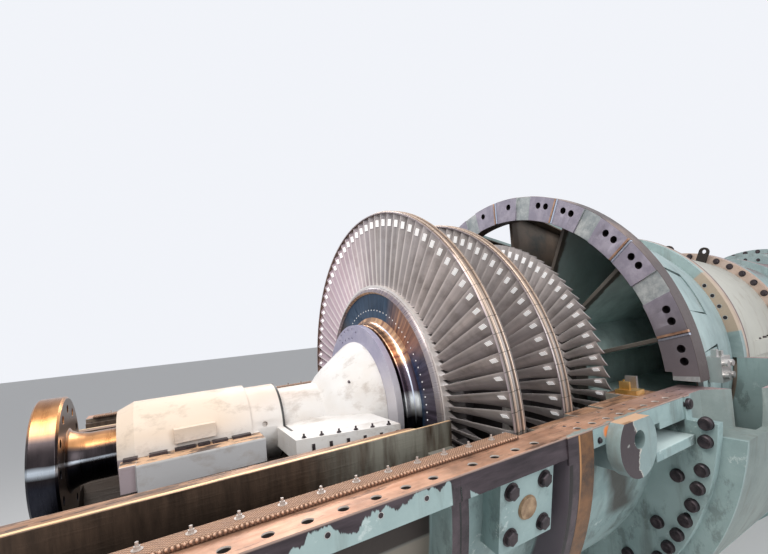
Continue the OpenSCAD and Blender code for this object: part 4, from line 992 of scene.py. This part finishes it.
# Blades: cast in a grey-brown alloy, twisted from root to tip. Each one is drawn out of its root
# section, station by station, and a row is one piece. Blank paper tags sit near the tips. A row is
# its edge, its platform's width, its root radius and its tip radius.
ROWS = {"3": (0.0, 0.19, 1.061, 1.7), "2": (MIDDLE_ROW, 0.18, 1.08, 1.603),
        "1": (FIRST_ROW, 0.15, 1.1, 1.457)}
TAG_LOW = (-0.058, -0.0105, -0.029)
TAG_HIGH = (-0.028, -0.009, 0.029)
TAG_SHARES = {"3": 0.38, "2": 0.19, "1": 0.02}
STATIONS = 5
ROOT_STAGGER = 17
TIP_STAGGER = 57
TIP_COVER = 1.1
ROOT_THICKNESS = 0.026
TIP_THICKNESS = 0.009
TIP_GAP = 0.0006


def blade_alloy_finish():
    """Grey-brown cast alloy, with painted light on the near side, far side and leading edges and
    painted shade deep in rows.
    """
    finish = Finish("blade alloy", "blade_alloy", Metallic=0.35)
    depth = row_depth(finish)
    which = finish.dice(finish.angle / PITCH + 200.5)
    span = finish.noise(1, 5, stretch=(9, 0.9, 40), vector=finish.polar()).above(0.5, 0.6)
    stain = finish.noise(5, 6, rough=0.65).above(0.56, 0.2)
    alloy = mix((0.25, 0.225, 0.22), (0.5, 0.455, 0.44), span)
    alloy = alloy.tint((0.36, 0.34, 0.38), which * 0.4)
    # Painted light on the blades of the near side.
    bright = mix((0.38, 0.345, 0.34), (0.88, 0.79, 0.76), span)
    bright = bright.tint((0.4, 0.38, 0.41), which * 0.35)
    alloy = alloy.tint(bright, finish.angle.between(30, 84, 24))
    alloy = alloy.tint((0.2, 0.165, 0.15), stain * 0.5)
    # Painted pink reflection on the far side's blades.
    alloy = alloy.tint((0.62, 0.45, 0.53), finish.angle.below(-12, 40) * 0.6)
    # Painted shade deep between the blades of each row.
    alloy = alloy.tint((0.075, 0.066, 0.064), depth.above(0.085, 0.08) * 0.72)
    # Painted light on the front of the two upstream rows.
    behind = finish.x.above(0.4, 0.01) * depth.below(0.09, 0.05)
    alloy = alloy.tint((0.95, 0.88, 0.84), behind * 0.22)
    # Painted light on the leading edges.
    finish.colour(mix(alloy, (0.8, 0.74, 0.72), depth.below(0.01, 0.006) * 0.7))
    finish.roughness(0.42 + span * 0.12)
    finish.bump(span + stain, 0.12, 0.002)
    return finish


blade_alloy = blade_alloy_finish()


def blade_places(edge, platform_width, root_r, tip_r):
    """For each station from root to tip: its frame, its chord and its thickness."""
    pitch_tip = 2 * tip_r * math.tan(math.radians(PITCH / 2))
    axial = platform_width - 0.04
    chord_root = axial / math.cos(math.radians(ROOT_STAGGER))
    chord_tip = TIP_COVER * pitch_tip / math.sin(math.radians(TIP_STAGGER))
    tip_x = edge + chord_tip * math.cos(math.radians(TIP_STAGGER)) / 2 + 0.006
    places = []
    for i in range(STATIONS + 1):
        t = i / STATIONS
        chord = chord_root + (chord_tip - chord_root) * t
        thick = ROOT_THICKNESS + (TIP_THICKNESS - ROOT_THICKNESS) * t ** 0.7
        stagger = ROOT_STAGGER + (TIP_STAGGER - ROOT_STAGGER) * t
        centre = edge + axial / 2 + (tip_x - edge - axial / 2) * t
        place = Matrix.Translation((centre, 0, root_r + (tip_r - TIP_GAP - root_r) * t))
        places.append((place @ turned(-stagger, "Z"), chord, thick))
    return places


def unit_section(points=6):
    """Outline of a blade section, one unit long: suction side out, pressure side back."""
    def bend(s):
        return 3.7 * s * (1 - s) - 0.46

    def thickness(s):
        return 1.9 * math.sqrt(s + 0.002) * (1 - s) ** 0.9 + 0.06

    steps = [i / points for i in range(points + 1)]
    over = [(0.5 - s, bend(s) + thickness(s) / 2) for s in steps]
    under = [(0.5 - s, bend(s) - thickness(s) / 2) for s in reversed(steps)]
    return over + under


for row, sizes in ROWS.items():
    places = blade_places(*sizes)
    sections = [place @ Matrix.Diagonal((chord, -thick, 1, 1)) for place, chord, thick in places]
    bm = bmesh.new()
    verts = [bm.verts.new((x, y, 0)) for x, y in unit_section()]
    face = bm.faces.new(verts)
    bmesh.ops.transform(bm, matrix=sections[0], verts=bm.verts)
    for before, after in zip(sections, sections[1:]):
        out = bmesh.ops.extrude_face_region(bm, geom=[face])["geom"]
        face = next(g for g in out if isinstance(g, bmesh.types.BMFace))
        moved = [g for g in out if isinstance(g, bmesh.types.BMVert)]
        bmesh.ops.transform(bm, matrix=after @ before.inverted(), verts=moved)
    bmesh.ops.recalc_face_normals(bm, faces=bm.faces)
    one = bm.verts[:] + bm.edges[:] + bm.faces[:]
    for i in range(1, BLADE_COUNT):
        copied = bmesh.ops.duplicate(bm, geom=one)["geom"]
        moved = [g for g in copied if isinstance(g, bmesh.types.BMVert)]
        bmesh.ops.rotate(bm, cent=(0, 0, 0), matrix=turned(PITCH * i).to_3x3(), verts=moved)
    bmesh.ops.translate(bm, vec=at(0, 0, 0), verts=bm.verts)
    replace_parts(keep(bm, "blade_row_" + row, blade_alloy, "rotor", 50), "blades_" + row)
    tags = bmesh.new()
    upper = places[-2][0]
    tip = places[-1][0]
    share = TAG_SHARES[row]
    tag = Matrix.Translation(upper.translation.lerp(tip.translation, share))
    tag = tag @ upper.to_quaternion().slerp(tip.to_quaternion(), share).to_matrix().to_4x4()
    for i in range(BLADE_COUNT):
        turn = Matrix.Translation(at(0, 0, 0)) @ turned(PITCH * i)
        box(tags, turn @ tag, TAG_LOW, TAG_HIGH)
    keep(tags, "blade_tags_" + row, glowing_marks, "rotor")


# Shroud bands: golden-brown rings over the tips of the last and middle rows, with two fins. They
# are made of interlocking segments.
def shroud_alloy_finish():
    """Heat-tinted gold with a painted grey reflection low on the near side, two bright fins and a
    skewed seam at every blade.
    """
    finish = Finish("shroud alloy", "shroud_alloy", Metallic=0.7)
    glow = finish.noise(2.2, 4, stretch=(6, 1, 1)).above(0.5, 0.4)
    along = row_depth(finish)
    lane = (finish.x * 8).maths("SINE") * 0.5
    seam = abs(finish.angle.repeat(PITCH) - PITCH / 2 + lane).below(0.07, 0.04)
    gold_and_reflection = mix((0.16, 0.12, 0.1), (0.42, 0.3, 0.22), glow)
    # Painted grey reflection on the lower near side.
    gold_and_reflection = gold_and_reflection.tint((0.26, 0.24, 0.23), finish.angle.above(58, 30) * 0.8)
    rails = along.between(0.02, 0.032, 0.002).either(along.between(0.064, 0.076, 0.002))
    beside = along.between(0.013, 0.04, 0.003).either(along.between(0.056, 0.083, 0.003))
    gold_and_reflection = gold_and_reflection.tint((0.05, 0.038, 0.034), (beside - rails) * 0.85)
    gold_and_reflection = gold_and_reflection.tint((0.6, 0.46, 0.36), rails * 0.8)
    gold_and_reflection = gold_and_reflection.tint((0.4, 0.33, 0.34), along.below(0.003, 0.002))
    finish.colour(mix(gold_and_reflection, (0.04, 0.035, 0.03), seam * 0.8))
    finish.roughness(0.34 + glow * 0.12)
    return finish


shroud_alloy = shroud_alloy_finish()
for node in ("shroud_3", "shroud_2"):
    dressed(node, shroud_alloy)

# Stage: a plain pale floor under soft light from above and from both sides.
floor_finish = Finish("floor", "casing_paint", Roughness=0.9)
floor_finish.colour((0.8, 0.8, 0.79))
floor_mesh = bmesh.new()
bmesh.ops.create_grid(floor_mesh, x_segments=1, y_segments=1, size=60)
mesh = bpy.data.meshes.new("floor")
floor_mesh.to_mesh(mesh)
floor_mesh.free()
mesh.materials.append(floor_finish.material)
floor = bpy.data.objects.new("floor", mesh)
scene.collection.objects.link(floor)


def lamp(name, place, target, size, power, colour):
    """A square area lamp that shines from a place towards a target."""
    data = bpy.data.lights.new(name, "AREA")
    data.size = size
    data.energy = power
    data.color = colour
    light = bpy.data.objects.new(name, data)
    light.location = place
    light.rotation_mode = "QUATERNION"
    light.rotation_quaternion = (target - place).to_track_quat("-Z", "Y")
    scene.collection.objects.link(light)


lamp("key", at(-3.6, -2.6, 6.0), at(0, 0, 0), 4.5, 430, (1.0, 0.97, 0.93))
lamp("fill", at(3.0, -7.5, 3.5), at(1.0, -1.0, 0), 5.0, 360, (0.95, 0.97, 1.0))
lamp("back", at(1.0, 5.0, 6.0), at(0.5, 0, 0.5), 4.0, 300, (0.97, 0.98, 1.0))

SKY_LIGHT = 0.45
BACKDROP_EXTRA = 0.5
world = bpy.data.worlds.new("studio")
world.use_nodes = True
scene.world = world
sky = world.node_tree
rays = sky.nodes.new("ShaderNodeLightPath")
seen = sky.nodes.new("ShaderNodeMath")
seen.operation = "MAXIMUM"
sky.links.new(rays.outputs["Is Camera Ray"], seen.inputs[0])
sky.links.new(rays.outputs["Is Glossy Ray"], seen.inputs[1])
strength = sky.nodes.new("ShaderNodeMath")
strength.operation = "MULTIPLY_ADD"
strength.inputs[1].default_value = BACKDROP_EXTRA
strength.inputs[2].default_value = SKY_LIGHT
sky.links.new(seen.outputs[0], strength.inputs[0])
sky.links.new(strength.outputs[0], sky.nodes["Background"].inputs["Strength"])
sky.nodes["Background"].inputs["Color"].default_value = (0.93, 0.95, 1.0, 1.0)
